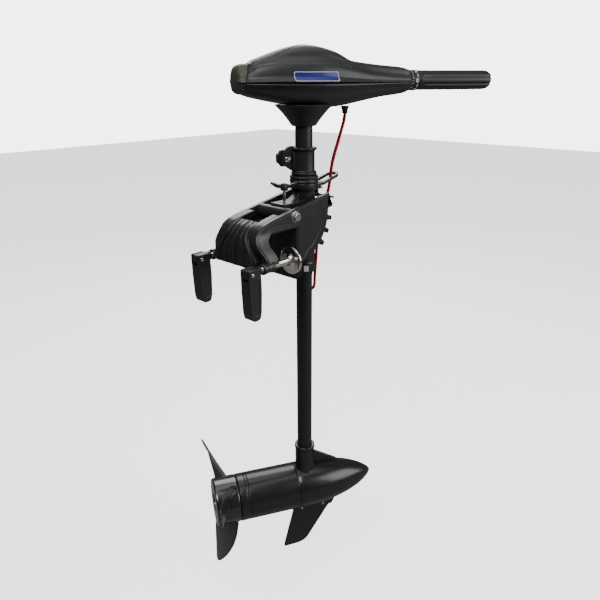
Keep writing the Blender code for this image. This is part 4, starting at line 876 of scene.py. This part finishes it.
def tilt_hinge():
    fit(rod("tilt_bolt_shank", (TILT_X, -0.047, TILT_Z), (TILT_X, 0.05, TILT_Z), 0.0035, "steel"),
        "bracket", "tilt_bolt")
    fit(hexagon("tilt_bolt_head", (TILT_X, -0.0418, TILT_Z), (TILT_X, -0.0475, TILT_Z), 0.007,
        "steel", 0.0007), "bracket")
    for name, y0, y1 in (("tilt_washer", -0.0403, -0.0418), ("tilt_washer_far", 0.0403, 0.0416)):
        fit(lathe(name, mm((3.6, 0), (8.9, 0), (8.9, 1.4), (3.6, 1.4)), (TILT_X, y0, TILT_Z),
            (TILT_X, y1, TILT_Z), "steel", 0.0003), "bracket")
    fit(hexagon("tilt_lock_nut", (TILT_X, 0.0417, TILT_Z), (TILT_X, 0.048, TILT_Z), 0.0075, "steel",
        0.0007), "bracket", "tilt_nut")


def clamps():
    for side, sign in SIDES:
        y, z = sign * CLAMP_Y, CLAMP_Z
        fit(lathe(f"clamp_{side}_cup", mm((0, 10.5), (12, 10.5), (13, 9.8), (18.5, 9.8),
            (20.5, 10.6), (21.5, 9.2), (21.5, 6.6), (19, 5.6), (12.5, 4.4), (8.8, 1.8), (8, 0),
            (4.9, 0), (4.9, 5.2), (0, 5.2)), (-0.039, y, z), (0, y, z), "chrome", 0.0008, 96, 50),
            f"pad_{side}", f"clamp_pad_{side}")
        profile = [(0, 0.0)]
        x, pitch = 0.0, 0.0015
        while x < 0.07:
            profile += [(0.004, x), (0.0045, x + pitch * 0.35), (0.0045, x + pitch * 0.6),
                (0.004, x + pitch * 0.95)]
            x += pitch
        profile += mm((3.6, 71.3), (0, 71.3))
        fit(lathe(f"clamp_{side}_threads", profile, (-0.1055, y, z), (0, y, z), "chrome", 0.0002,
            40, 60), f"screw_{side}", f"clamp_screw_{side}")
        fit(lathe(f"clamp_{side}_collar", mm((4.6, 0), (6.2, 0), (6.8, 1), (6.8, 3.6), (4.6, 3.6)),
            (-0.0999, y, z), (0, y, z), "bracket_black", 0.0004, 48), f"screw_{side}")
        fit(refined(f"clamp_yoke_{side}", f"clamp_{side}_yoke", "bracket_black", 0.001),
            f"screw_{side}", f"clamp_yoke_{side}")
        for number, (x, radius) in enumerate(((GRIP_PIN_X, 0.003), (-0.105, 0.0024))):
            for far in (-1, 1):
                fit(lathe(f"clamp_{side}_pin_{number + 1}_{'near' if far < 0 else 'far'}",
                    [(0, 0.0016), (radius * 0.7, 0.0013), (radius, 0.0005), (radius, 0), (0, 0)],
                    (x, y + far * (0.0096 if number == 0 else 0.0049), z), (x, y + far * 0.02, z),
                    "chrome", 0.0003, 32), f"screw_{side}")
        fit(rod(f"clamp_{side}_hinge", (GRIP_PIN_X, y - 0.01, z), (GRIP_PIN_X, y + 0.01, z), 0.0022,
            "chrome", 0.0003, 32), f"screw_{side}", f"clamp_hinge_pin_{side}")
        folding_grip(side, y)


def folding_grip(side, y):
    """The tapered handle that folds on the yoke's pin, with a sunk panel in each face."""
    profile = mm((-125.5, 5), (-103, 5), (-101.8, -30), (-103.3, -62), (-105.6, -72), (-110, -74),
        (-118, -74), (-121.5, -71.5), (-123.8, -62), (-125, -30))
    grip = plate("grip", eased(profile, 0.003, closed=True, steps=4), 0.019, "bracket_black",
        in_xz(y), 0)
    for far in (-1, 1):
        panel = mm((-120.5, -12), (-107, -12), (-107, -60), (-110, -66.5), (-117.5, -66.5),
            (-120.5, -60))
        sink = plate("sink", eased(panel, 0.003, closed=True, steps=4), 0.0016, "bracket_black",
            in_xz(y + far * 0.0095), 0)
        grip = cut(grip, sink)
    slot = block("slot", (-0.13, y - 0.0053, -0.0128), (-0.098, y + 0.0053, 0.01), "bracket_black",
        0)
    bore = rod("bore", (GRIP_PIN_X, y - 0.02, CLAMP_Z), (GRIP_PIN_X, y + 0.02, CLAMP_Z), 0.0025,
        "bracket_black", 0, 24)
    grip = cut(grip, slot, bore)
    grip.name = f"clamp_{side}_handle"
    bevelled(grip, 0.001, 3, 32)
    fit(grip, f"grip_{side}", f"clamp_grip_{side}", slot="bracket_black")


side_plates()
apron()
apron_returns()
saddle()
tilt_hinge()
clamps()


# --- Swivel, bushes, lever and wing -------------------------------------------------------

def swivel():
    fit(refined("swivel_block", "swivel_casting", "bracket_black", 0.0009, 30), "swivel",
        "swivel_block")
    fit(lathe("swivel_sleeve_skin", mm((15.3, -46), (17.8, -46), (17.8, -53.6), (19, -53.6),
        (19.4, -52.8), (19.4, -37), (18.4, -35.6), (18.4, 84), (19.8, 86.8), (22.6, 90), (22.8, 98),
        (15.3, 98)), *COLUMN_AXIS, "bracket_black", 0.001, 128), "swivel")
    for number, (x, z) in enumerate(((0.019, 0.06), (0.033, 0.06))):
        fit(block(f"swivel_arm_rib_{number + 1}", (x, -0.0162, 0.0515),
            (x + 0.0022, 0.0162, 0.0715), "bracket_black", 0.0005), "swivel")
    fit(lathe("upper_bush_cap", mm((14.4, 86.5), (14.9, 86.5), (14.9, 98.3), (22.6, 98.3),
        (23.8, 99.5), (23.8, 101.8), (22.8, 103), (22.8, 105.2), (23.6, 106.2), (23.6, 108.2),
        (21.5, 110.2), (14.4, 110.2)), *COLUMN_AXIS, "column_black", 0.0007, 128), "swivel",
        "upper_bush", slot="bracket_black")
    fit(lathe("lower_bush_ring", mm((14.4, -53), (16.8, -53), (17.6, -52.2), (17.6, -46.4),
        (14.9, -46.4), (14.9, -35), (14.4, -35)), *COLUMN_AXIS, "nylon_white", 0.0005, 128),
        "swivel", "lower_bush")
    tab_turn = Matrix.Rotation(math.radians(-128), 4, "Z")
    fit(block("lower_bush_tab", (0.0178, -0.0042, -0.05), (0.0206, 0.0042, -0.04), "nylon_white",
        0.0006, Matrix.Translation((COLUMN_X, 0, 0)) @ tab_turn), "swivel")
    fit(rod("lever_hinge_pin", (0.0882, -0.0155, 0.09), (0.0882, 0.0155, 0.09), 0.0016, "steel",
        0.0003, 32), "swivel", "lever_pin")


def lock_lever():
    fit(refined("tilt_lever", "tilt_lock_lever", "bracket_black", 0.001, 30), "lock_lever",
        "tilt_lever")
    turn = math.radians(10.2)
    x, z = TILT_X + 0.0945 * math.cos(turn), TILT_Z + 0.0945 * math.sin(turn)
    fit(rod("tilt_lock_bar", (x, -0.04, z), (x, 0.04, z), 0.002, "steel", 0.0004, 32), "lock_lever",
        "lock_bar")


def wing():
    fit(lathe("tension_screw", mm((0, 60.3), (2.5, 60.3), (2.5, 95), (0, 95)), (WING_X, 0, 0),
        (WING_X, 0, 1), "chrome", 0.0003, 32), "wing_screw", "wing_spindle")
    outline = mm((-21, 7.8), (-22.2, 5.5), (-13, -1.5), (0, -2.8), (13, -1.5), (22.2, 5.5),
        (21, 7.8), (10, 3.5), (0, 2.8), (-10, 3.5))
    turn = (Matrix.Translation((WING_X, 0, 0.097)) @ Matrix.Rotation(math.radians(-47), 4, "Z")
        @ Matrix.Rotation(math.pi / 2, 4, "X"))
    fit(plate("tension_wing", eased(outline, 0.003, closed=True, steps=4), 0.01, "bracket_black",
        turn, 0.0014), "wing_screw", "wing_handle")
    fit(lathe("tension_wing_hub", mm((2.8, 91), (6, 91), (6.4, 96), (5.6, 101), (4, 102), (0, 102),
        (0, 95.2), (2.8, 95.2)), (WING_X, 0, 0), (WING_X, 0, 1), "bracket_black", 0.0006, 48),
        "wing_screw")


swivel()
lock_lever()
wing()


# --- Depth collar and column --------------------------------------------------------------

KNOB_A = -0.029
KNOB_Z = 0.1357


def collar():
    fit(lathe("depth_collar_ring", mm((14.4, 110.8), (19.6, 110.8), (20.8, 111.6), (20.8, 114.6),
        (19.4, 116), (17.6, 117.2), (17.5, 147.8), (19, 149), (20.8, 150.2), (20.8, 153.2),
        (19.6, 154), (14.4, 154)), *COLUMN_AXIS, "column_black", 0.001, 128), "collar",
        "depth_collar")
    middle_z = 0.1324
    points = [(-0.0158, middle_z - 0.0165), (-0.0158, middle_z + 0.024),
        (-0.0267, middle_z + 0.0232), (-0.033, middle_z + 0.0165), (-0.0375, middle_z + 0.005),
        (-0.037, middle_z - 0.004), (-0.0218, middle_z - 0.015)]
    for number, side in enumerate((-0.0022, 0.0022)):
        fit(plate(f"collar_ear_{number + 1}", eased(points, 0.004, closed=True, steps=5), 0.0038,
            "column_black", on_heading(side), 0.0008), "collar")
    fit(block("collar_ear_root", (-0.0205, -0.0075, middle_z - 0.014),
        (-0.0155, 0.0075, middle_z + 0.015), "column_black", 0.0012,
        Matrix.Translation((COLUMN_X, 0, 0)) @ Matrix.Rotation(math.radians(STEER_DEG), 4, "Z")),
        "collar")
    fit(rod("collar_bolt_shank", at(KNOB_A, 0.006, KNOB_Z), at(KNOB_A, -0.0168, KNOB_Z), 0.0025,
        "chrome"), "collar", "collar_bolt")
    head = lathe("collar_bolt_face", mm((0, 0), (5, 0), (5, 2.2), (4.2, 3.4), (0, 3.6)),
        at(KNOB_A, 0.0042, KNOB_Z), at(KNOB_A, 1, KNOB_Z), "chrome", 0.0006, 48)
    nick = block("nick", (-0.0045, -0.0005, 0.0028), (0.0045, 0.0005, 0.006), "chrome", 0,
        along(at(KNOB_A, 0.0042, KNOB_Z), at(KNOB_A, 1, KNOB_Z)) @ Matrix.Rotation(0.5, 4, "Z"))
    head = cut(head, nick)
    fit(head, "collar", slot="chrome")
    rings = []
    for h, r in ((-0.0102, 0.0128), (-0.0108, 0.0138), (-0.015, 0.0142), (-0.0192, 0.0136),
                 (-0.02, 0.0124)):
        ring_points = []
        for i in range(160):
            turn = 2 * math.pi * i / 160
            lobe = r - 0.001 * (0.5 + 0.5 * math.cos(turn * 8)) ** 2
            ring_points.append(at(KNOB_A, h, KNOB_Z) + UP * math.sin(turn) * lobe
                + HEADING * math.cos(turn) * lobe)
        rings.append(ring_points)
    fit(bevelled(loft("collar_knob_body", rings, "column_black", angle=50), 0.0007, 3, 40),
        "collar_screw", "collar_knob")
    fit(rod("collar_knob_hub", at(KNOB_A, -0.0043, KNOB_Z), at(KNOB_A, -0.011, KNOB_Z), 0.007,
        "column_black"), "collar_screw")


def column():
    fit(lathe("column_pipe", mm((12.2, -474), (14, -474), (14, 214), (12.2, 214)), *COLUMN_AXIS,
        "column_black", 0, 128), "shaft", "column_tube")


collar()
column()


# --- Motor, propeller and skeg ------------------------------------------------------------

def nose_radius(a, radius=MOTOR_R):
    share = (a + 0.01) / 0.1535
    return radius if share <= 0 else radius * max(0.0, 1 - share ** 2.2) ** 0.68


def motor():
    profile = [(0.0, 0.1435)]
    for i in range(1, 61):
        a = -0.01 + 0.1535 * math.sin(math.pi / 2 * (1 - i / 60))
        profile.append((nose_radius(a), a))
    profile += [(MOTOR_R, -0.0205), (MOTOR_R - 0.0006, -0.0213), (MOTOR_R - 0.003, -0.0215),
        (MOTOR_R - 0.003, 0.0)]
    for i in range(12):
        a = 0.1 * math.sin(math.pi / 2 * (i + 1) / 12)
        profile.append((max(0.0, nose_radius(a * 1.4) - 0.003) if i < 11 else 0.0, a))
    fit(lathe("motor_nose", profile, *MOTOR_AXIS, "motor_black", 0, 160, 40), "shaft",
        "nose_housing")
    fit(lathe("motor_column_socket", mm((14.3, -415), (18.8, -415), (19.6, -415.8), (19.7, -422.2),
        (18.6, -423.6), (18.5, -456), (18.8, -464), (20, -470), (22.8, -474.8), (25, -480),
        (14.3, -480)), *COLUMN_AXIS, "motor_black", 0.0008, 128), "shaft")
    fit(plate("motor_gusset", mm((12, -434.5), (20, -435), (42, -449), (66, -464), (76, -476),
        (12, -476)), 0.0058, "motor_black", on_heading(), 0.0014), "shaft")
    fit(lathe("motor_can", mm((42, -119.7), (44.6, -119.7), (45, -119), (45, -22.6), (44.6, -22),
        (42, -22)), *MOTOR_AXIS, "motor_black", 0.0004, 160), "shaft", "magnet_can")
    fit(lathe("motor_end_bell", mm((10, -139.7), (43, -139.7), (45, -138.5), (45, -126.2),
        (44.4, -125.6), (44.4, -124.6), (45, -124), (45, -120.6), (44.5, -120), (10, -120)),
        *MOTOR_AXIS, "motor_black", 0.0004, 160), "shaft", "end_bell")


def blade_section(share):
    radius = 0.04 + (0.137 - 0.04) * share
    width = 0.056 + 0.02 * math.sin(math.pi * min(1.0, share * 0.95))
    chord = width * math.sqrt(max(0.012, 1 - (share / 1.008) ** 3.0))
    pitch = math.radians(38.0 - 34.0 * share ** 0.8)
    thickness = 0.0044 - 0.0028 * share
    rake = -0.028 * share ** 1.3
    return radius, chord, pitch, thickness, rake


def propeller():
    fit(lathe("propeller_hub", mm((0, -171.6), (16.5, -171.6), (17, -185), (29, -185.8),
        (30.6, -184.2), (32.2, -185.8), (42.5, -185.8), (44.4, -184.6), (45, -182), (45, -142.4),
        (44.4, -140.8), (0, -140.8)), *MOTOR_AXIS, "prop_grey", 0.001, 160), "rotor", "propeller")
    middle = at(-0.16125, 0, MOTOR_Z)
    section = [(-0.5, 0.0), (-0.47, 0.2), (-0.38, 0.36), (-0.22, 0.46), (0.0, 0.5), (0.2, 0.42),
        (0.38, 0.26), (0.5, 0.05), (0.5, -0.05), (0.38, -0.22), (0.2, -0.34), (0.0, -0.4),
        (-0.22, -0.38), (-0.38, -0.3), (-0.47, -0.18)]
    for number in range(3):
        turn = math.radians(153.0 + 120.0 * number)
        out = outward(turn)
        around = HEADING.cross(out)
        rings = []
        for i in range(41):
            share = math.sin(math.pi / 2 * i / 40) if i > 20 else i / 20 * math.sin(math.pi / 4)
            radius, chord, pitch, thick, rake = blade_section(share)
            chordwise = around * math.cos(pitch) - HEADING * math.sin(pitch)
            normal = out.cross(chordwise)
            ring = []
            for u, v in section:
                camber = 0.03 * chord * (1 - (2 * u) ** 2)
                ring.append(middle + out * radius + HEADING * rake + chordwise * u * chord
                    + normal * (v * thick + camber))
            rings.append(ring)
        fit(loft(f"propeller_blade_{number + 1}", rings, "prop_grey", angle=60), "rotor")
        rings = []
        for k, grow in ((0, 1.9), (1, 1.45), (2, 1.15), (3, 1.0)):
            share = 0.01 + 0.022 * k
            radius, chord, pitch, thick, rake = blade_section(share)
            radius = 0.0438 + 0.0016 * k
            chordwise = around * math.cos(pitch) - HEADING * math.sin(pitch)
            normal = out.cross(chordwise)
            rings.append([middle + out * radius + HEADING * rake + chordwise * u * chord * (1
                + 0.02 * (grow - 1)) + normal * v * thick * grow for u, v in section])
        fit(loft(f"propeller_blade_{number + 1}_root", rings, "prop_grey", angle=60), "rotor")
    fit(hexagon("propeller_nut", at(-0.1705, 0, MOTOR_Z), at(-0.18, 0, MOTOR_Z), 0.0095,
        "nut_copper", 0.0008), "rotor", "prop_nut", slot="steel")
    fit(lathe("propeller_nut_dome", mm((0, 0), (6.8, 0), (6.6, 1.2), (5.2, 2.4), (0, 3)),
        at(-0.1798, 0, MOTOR_Z), at(-1, 0, MOTOR_Z), "nut_copper", 0.0004, 48), "rotor",
        slot="steel")


def skeg():
    fin = mm((-18, -556), (70, -556), (60, -570), (46, -590), (6, -655), (0, -661), (-12, -666),
        (-47, -668), (-26, -580))
    fit(plate("skeg_fin", eased(fin, 0.005, closed=True, steps=4), 0.0046, "motor_black",
        on_heading(), 0.0013), "shaft", "skeg")
    band = mm((-20.5, -548), (70, -548), (61, -570), (57.5, -576.5), (-26.2, -579))
    fit(plate("skeg_foot", eased(band, 0.0025, closed=True, steps=4), 0.011, "motor_black",
        on_heading(), 0.0012), "shaft")
    for number, a in enumerate((-0.008, 0.038)):
        for far in (-1, 1):
            name = ("skeg_screw_rear", "skeg_screw_front")[number]
            head = lathe(f"{name}_{'far' if far < 0 else 'near'}", mm((0, 2.2), (1.4, 2),
                (2.4, 1.2), (3, 0), (0, 0)), at(a, far * 0.0054, -0.5715),
                at(a, far * 0.1, -0.5715), "steel", 0.0004, 40)
            if far > 0:
                nick = block("nick", (-0.0025, -0.0004, 0.0013), (0.0025, 0.0004, 0.004), "steel",
                    0, along(at(a, 0.0054, -0.5715), at(a, 1, -0.5715))
                    @ Matrix.Rotation(0.9, 4, "Z"))
                head = cut(head, nick)
            fit(head, "shaft", *([name] if far > 0 else []))


motor()
propeller()
skeg()


# --- Tiller head --------------------------------------------------------------------------

# Stations along the heading: half width, the shoulder's height, the top and the bottom, all in
# millimetres about the tiller's axis.
STATION_A = [-108, -100, -94, -84, -70, -50, -30, -10, 5, 20, 40, 55, 70, 85, 105, 125, 145, 160,
    168, 176.5]
STATION_H = [24, 31.5, 35.5, 39.5, 43.5, 47.2, 49.3, 50.4, 50.5, 49.8, 47, 44, 39.8, 35.5, 29.8,
    25.4, 22.4, 20.8, 19.6, 16.5]
STATION_S = [8, 12.5, 14.6, 17.8, 21, 23.4, 24.6, 24.9, 24.8, 24.4, 22.1, 19.3, 16.4, 13.4, 10.2,
    8.2, 6.4, 5.6, 5, 4.5]
STATION_T = [15, 23, 26.1, 28.2, 33, 40, 46, 49.8, 50.4, 48.6, 43.6, 38, 30, 27.4, 25, 23, 21.4, 20,
    18.6, 15.8]
STATION_B = [-8, -18, -21, -24, -27, -31, -34, -36.5, -37.5, -38.5, -38.5, -37, -34.6, -31.8, -28.2,
    -24.8, -22.4, -20.5, -18.8, -15.2]
CREASE = -2.8
REAR_SEAM = -98.0
REAR_LEAN = 0.34


def half_profile(a):
    """The head's outline at a, from its bottom round to its top, as (half width, height), mm."""
    half = curve_through(STATION_A, STATION_H, a)
    shoulder = curve_through(STATION_A, STATION_S, a)
    top = curve_through(STATION_A, STATION_T, a)
    depth = CREASE - curve_through(STATION_A, STATION_B, a)
    hump = smoothstep((a + 90) / 30) * smoothstep((78 - a) / 26)
    base = shoulder + (0.58 - 0.22 * hump) * (top - shoulder)
    lower = [(0, -1.0), (0.3, -0.99), (0.62, -0.92), (0.86, -0.7), (0.97, -0.35), (1.0, -0.03)]
    points = [(half * w, CREASE + depth * h) for w, h in lower]
    points += [(half, CREASE + 0.25), (half * 0.985, CREASE + 0.3 * (shoulder - CREASE)),
        (half * 0.93, CREASE + 0.75 * (shoulder - CREASE)), (half * 0.84, shoulder),
        (half * 0.72, shoulder + 0.35 * (base - shoulder)), (half * 0.62, base),
        (half * 0.55, base + 0.45 * (top - base)), (half * 0.38, base + 0.83 * (top - base)),
        (half * 0.18, base + 0.97 * (top - base)), (0, top)]
    return points


def smooth_line(points, parts):
    """Points run through smoothly, with parts steps between each pair."""
    knots = [Vector((*p, 0)) for p in points]
    mirrored_first = Vector((-knots[1].x, knots[1].y, 0))
    mirrored_last = Vector((-knots[-2].x, knots[-2].y, 0))
    fine = catmull_rom([mirrored_first] + knots + [mirrored_last], parts)
    return [(max(0.0, spot.x), spot.y) for spot in fine] + [tuple(points[-1])]


def head_point(a, w, z):
    """The point w beside the tiller's axis and z above it, at a along it, all in millimetres."""
    return at(a / 1000, w / 1000, HEAD_Z + z / 1000)


def head_stations(first, last, step=2.6):
    count = max(2, int((last - first) / step))
    return [first + (last - first) * i / count for i in range(count + 1)]


def shell(name, rows, finish, body, *nodes, thickness=0.0024, slot=None):
    """A thin moulding over rows of points, with its thickness on the inside."""
    bm = bmesh.new()
    verts = [[bm.verts.new(p) for p in row] for row in rows]
    for low, high in zip(verts, verts[1:]):
        for j in range(len(low) - 1):
            bm.faces.new((low[j], low[j + 1], high[j + 1], high[j]))
    bmesh.ops.remove_doubles(bm, verts=bm.verts, dist=0.000005)
    centre = Vector((0, 0, 0))
    for vert in bm.verts:
        centre += vert.co
    centre /= len(bm.verts)
    bmesh.ops.recalc_face_normals(bm, faces=bm.faces)
    mesh = bpy.data.meshes.new(name)
    bm.to_mesh(mesh)
    bm.free()
    mesh.materials.append(MATERIALS[finish])
    obj = linked(name, mesh)
    facing_out = sum(f.normal.dot(f.center - centre) * f.area for f in mesh.polygons)
    if facing_out < 0:
        mesh.flip_normals()
    shaded(obj, 40)
    solid = obj.modifiers.new("wall", "SOLIDIFY")
    solid.thickness = thickness
    solid.offset = -1.0
    solid.use_even_offset = False
    bevelled(obj, 0.0006, 2, 50)
    fit(obj, body, *nodes, slot=slot or finish)


def head():
    upper, lower = [], []
    for a in head_stations(-97.5, 176.5):
        line = half_profile(a)
        top = smooth_line(line[6:], 5)
        top[0] = (line[6][0], CREASE + 0.3)
        bottom = smooth_line(line[:6], 5)
        bottom[-1] = (line[5][0], CREASE - 0.3)
        tuck = (line[6][0] - 0.7, CREASE + 0.25)
        side = [tuck] + top
        # The rear seam leans forward over the hump.
        lean = smoothstep((-78 - a) / 19.5)
        row = [head_point(a + lean * max(0.0, z) * REAR_LEAN, w, z) for w, z in side]
        row += [head_point(a + lean * max(0.0, z) * REAR_LEAN, -w, z) for w, z in side[::-1][1:]]
        upper.append(row)
        tuck = (line[5][0] - 0.7, CREASE - 0.25)
        side = bottom + [tuck]
        row = [head_point(a, w, z) for w, z in side[::-1]]
        row += [head_point(a, -w, z) for w, z in side[1:]]
        lower.append(row)
    shell("head_top_cover", upper, "head_charcoal", "shaft", "head_cover")
    shell("head_lower_housing", lower, "head_charcoal", "shaft", "head_base")
    fit(lathe("head_neck", mm((14.3, 186), (18.8, 186), (19.7, 187.2), (21.2, 189), (22.8, 191.3),
        (25, 194.3), (27.2, 197.2), (29.7, 200.3), (32.5, 203.7), (35.5, 207.2), (38.8, 210.5),
        (42.5, 214), (46.2, 218), (43, 218.5), (14.3, 202)), *COLUMN_AXIS, "head_charcoal", 0.0012,
        160, 50), "shaft")
    rows = []
    for i, a in enumerate((-97.9, -98.6, -101.5, -104.5, -107.0, -109.2, -110.6, -111.2)):
        shrink = (1.0, 1.0, 0.985, 0.95, 0.89, 0.78, 0.6, 0.34)[i]
        line = half_profile(min(a, REAR_SEAM) if i < 2 else REAR_SEAM)
        ring = smooth_line(line[:6], 3) + smooth_line(line[6:], 4)
        middle = 3.0
        row = []
        for w, z in ring:
            lean = max(0.0, z) * REAR_LEAN * (1 - i / 7) ** 1.5
            row.append((a + lean, w * shrink, middle + (z - middle) * shrink))
        full = [head_point(*p) for p in row] + [head_point(p[0], -p[1], p[2])
            for p in row[::-1][1:-1]]
        rows.append(full)
    fit(bevelled(loft("head_end_cap", rows, "cap_olive", angle=45), 0.0007, 2, 45), "shaft",
        "head_rear_cap")
    # Painted shade: the strip behind the parting gap is drawn in the darker rubber_black, not the
    # housing's charcoal, so that the seam reads as a dark line.
    for far in (1, -1):
        tongue = []
        for a in head_stations(-99.0, 172.0, 4.0):
            w = far * (half_profile(a)[6][0] - 1.3)
            tongue.append([head_point(a, w, CREASE - 3.5), head_point(a, w, CREASE - 1.0),
                head_point(a, w, CREASE + 1.0), head_point(a, w, CREASE + 3.5)])
        shell(f"head_seam_shade_strip_{'near' if far > 0 else 'far'}", tongue, "rubber_black", "shaft",
            thickness=0.001, slot="head_charcoal")
    spine()
    fit(lathe("head_front_ring", mm((9.4, 176.5), (14, 176.5), (14.9, 175.8), (15.2, 173.5),
        (15.2, 160), (9.4, 160)), *TILLER_AXIS, "head_charcoal", 0.0005, 96), "shaft")
    label()
    fit(lathe("lead_exit_grommet", mm((0, 2), (4, 1.8), (4.5, 3.4), (4.9, 7), (5.6, 10),
        (6.8, 12.2), (6.8, 13.4), (0, 14)), at(0.069, 0, 0.2012), at(0.069, 0, 1.0), "rubber_black",
        0.0008, 64), "shaft", "lead_grommet")
    for number, (a, w) in enumerate(((120.0, 0.0), (-70.0, 26.0), (-70.0, -26.0))):
        bottom = half_profile(a)[0][1]
        drop = 0.0 if w == 0 else 3.2
        fit(lathe(f"head_housing_screw_{number + 1}", mm((1.2, 0), (2.4, -0.2), (3.1, 0.6),
            (3.1, 3), (0, 3), (0, 1.4), (1.2, 1.2)), head_point(a, w, bottom + drop - 0.2),
            head_point(a, w, bottom + 30), "steel", 0.0003, 32), "shaft")


def spine():
    """The olive panel along the top of the hump."""
    rows = []
    for a in head_stations(-92.0, 4.0):
        wide = curve_through([-92, -70, -45, -20, -6, 4], [29, 27, 23, 17, 10, 1.2], a)
        line = smooth_line(half_profile(a)[6:], 8)
        fine = [(w, z) for w, z in line if w <= wide + 6]
        row = []
        lean = smoothstep((-78 - a) / 19.5)
        for k in range(13):
            w = wide * (1 - k / 12)
            z = height_at(fine, w)
            row.append((a + lean * max(0.0, z) * REAR_LEAN, w, z + 0.35))
        rows.append([head_point(*p) for p in row] + [head_point(p[0], -p[1], p[2])
            for p in row[::-1][1:]])
    shell("head_spine_panel", rows, "cap_olive", "shaft", thickness=0.0012)


def height_at(line, w):
    """The height of a head outline, (half width, height) pairs from the side in, at w."""
    for (w0, z0), (w1, z1) in zip(line, line[1:]):
        if w1 <= w <= w0 and w0 > w1:
            return z0 + (z1 - z0) * (w0 - w) / (w0 - w1)
    return line[-1][1] if w < line[-1][0] else line[0][1]


def width_at(line, z):
    for (w0, z0), (w1, z1) in zip(line, line[1:]):
        if z0 <= z <= z1 and z1 > z0:
            return w0 + (w1 - w0) * (z - z0) / (z1 - z0)
    return line[0][0]


def label():
    """A plain panel with a thin border, on the near side."""
    for name, low_a, high_a, low_z, high_z, out, finish, nodes in (
            ("label_border_near", -30.4, 39.4, -1.2, 12.3, 0.55, "label_border", ()),
            ("label_panel_near", -29.2, 38.2, -0.2, 11.3, 0.75, "label_blue", ("label_plate",))):
        rows = []
        for a in head_stations(low_a, high_a, 2.0):
            inset = 1.6 * (1 - smoothstep(min(a - low_a, high_a - a) / 2.2))
            line = smooth_line(half_profile(a)[6:], 6)
            row = []
            for k in range(9):
                z = low_z + inset + (high_z - low_z - 2 * inset) * k / 8
                row.append(head_point(a, width_at(line, z) + out, z))
            rows.append(row)
        shell(name, rows, finish, "shaft", *nodes, thickness=0.0006, slot="label_blue")


head()


# --- Tiller -------------------------------------------------------------------------------

SEGMENTS = {"0": "abcdef", "1": "bc", "2": "abged", "3": "abgcd", "4": "fgbc", "5": "afgcd"}
STROKES = {"a": ((0, 1), (1, 1)), "b": ((1, 1), (1, 0)), "c": ((1, 0), (1, -1)),
    "d": ((1, -1), (0, -1)), "e": ((0, -1), (0, 0)), "f": ((0, 0), (0, 1)), "g": ((0, 0), (1, 0))}


def tiller():
    fit(lathe("tiller_pipe", mm((7.4, -40), (9, -40), (9, 310), (7.4, 310)), *TILLER_AXIS, "steel",
        0, 96), "tiller", "tiller_tube")
    fit(lathe("speed_dial_ring", mm((9.3, 177.2), (15, 177.2), (15.6, 178), (15.6, 191.4),
        (15, 192.1), (9.3, 192.1)), *TILLER_AXIS, "dial_black", 0.0004, 128), "twist_grip",
        "speed_dial")
    marks = "543210123"
    for number, digit in enumerate(marks):
        middle = math.radians(58 - 30 * (number - 3))
        dial_digit(f"speed_mark_{number + 1}", digit, middle)
    for number in range(18):
        turn = math.radians(58 - 15 * (number - 6))
        radius = 0.0156
        out = outward(turn)
        tick = block(f"speed_tick_{number + 1}", (-0.0003, -0.0002, 0), (0.0003, 0.0002, 0.0018),
            "mark_white", 0)
        across = HEADING.cross(out)
        place = Matrix((across, out, HEADING)).transposed().to_4x4()
        tick.data.transform(Matrix.Translation(at(0.1784, 0, HEAD_Z) + out * radius) @ place)
        fit(tick, "twist_grip", slot="dial_black")
    grip_flutes()


def dial_digit(name, digit, middle):
    """A plain seven-stroke digit laid round the dial, read from beside the grip."""
    radius, wide, high = 0.0158, 0.0026, 0.0024
    bm = bmesh.new()
    for letter in SEGMENTS[digit]:
        (x0, y0), (x1, y1) = STROKES[letter]
        first = Vector(((x0 - 0.5) * wide, y0 * high, 0))
        last = Vector(((x1 - 0.5) * wide, y1 * high, 0))
        run = (last - first).normalized()
        across = Vector((-run.y, run.x, 0)) * 0.00042
        first, last = first - run * 0.0004, last + run * 0.0004
        corners = [first - across, last - across, last + across, first + across]
        verts = []
        for lift in (-0.0002, 0.00012):
            for corner in corners:
                turn = middle + corner.y / radius
                out = outward(turn)
                verts.append(bm.verts.new(at(0.1866 + corner.x, 0, HEAD_Z) + out * (radius + lift)))
        for face in ((3, 2, 1, 0), (4, 5, 6, 7), (0, 1, 5, 4), (1, 2, 6, 5), (2, 3, 7, 6),
                     (3, 0, 4, 7)):
            bm.faces.new([verts[i] for i in face])
    obj = placed(bm, name, "mark_white")
    fit(obj, "twist_grip", slot="dial_black")


def grip_flutes():
    """The twist grip: a round handle with eight shallow flutes and a rounded end."""
    rings = []
    stations = mm((192.5, 14.3), (193, 14.8), (194.5, 15), (198.5, 15), (201, 15), (204, 15),
        (220, 15), (260, 15), (300, 15), (315, 15), (318, 14.9), (321.5, 14.5), (324.5, 13.7),
        (326.8, 12.4), (328.3, 10.4), (329, 7.8), (329.2, 4))
    for a, r in stations:
        depth = 0.0012 * smoothstep((a - 0.199) / 0.0055)
        ring = []
        for i in range(192):
            turn = 2 * math.pi * i / 192
            wave = math.cos((turn - math.radians(22.5)) * 8)
            dip = depth * smoothstep((wave - 0.05) / 0.9) * min(1.0, r / 0.0145)
            ring.append(at(a, 0, HEAD_Z) + outward(turn) * (r - dip))
        rings.append(ring)
    fit(loft("tiller_twist_grip", rings, "grip_black", angle=55), "twist_grip", "tiller_grip")


tiller()


# --- Carried-over inner parts -------------------------------------------------------------

INSIDE = {"magnet_upper": "magnet_grey", "magnet_lower": "magnet_grey",
    "brush_plate": "switch_plastic", "bearing_front": "steel", "bearing_rear": "steel",
    "shaft_seal": "rubber_black", "motor_shaft": "steel", "armature": "copper",
    "drive_pin": "steel", "speed_switch": "switch_plastic"}
for inner, finish_name in INSIDE.items():
    mesh_data = frame["nodes"][inner].data
    mesh_data.materials.clear()
    mesh_data.materials.append(MATERIALS[finish_name])
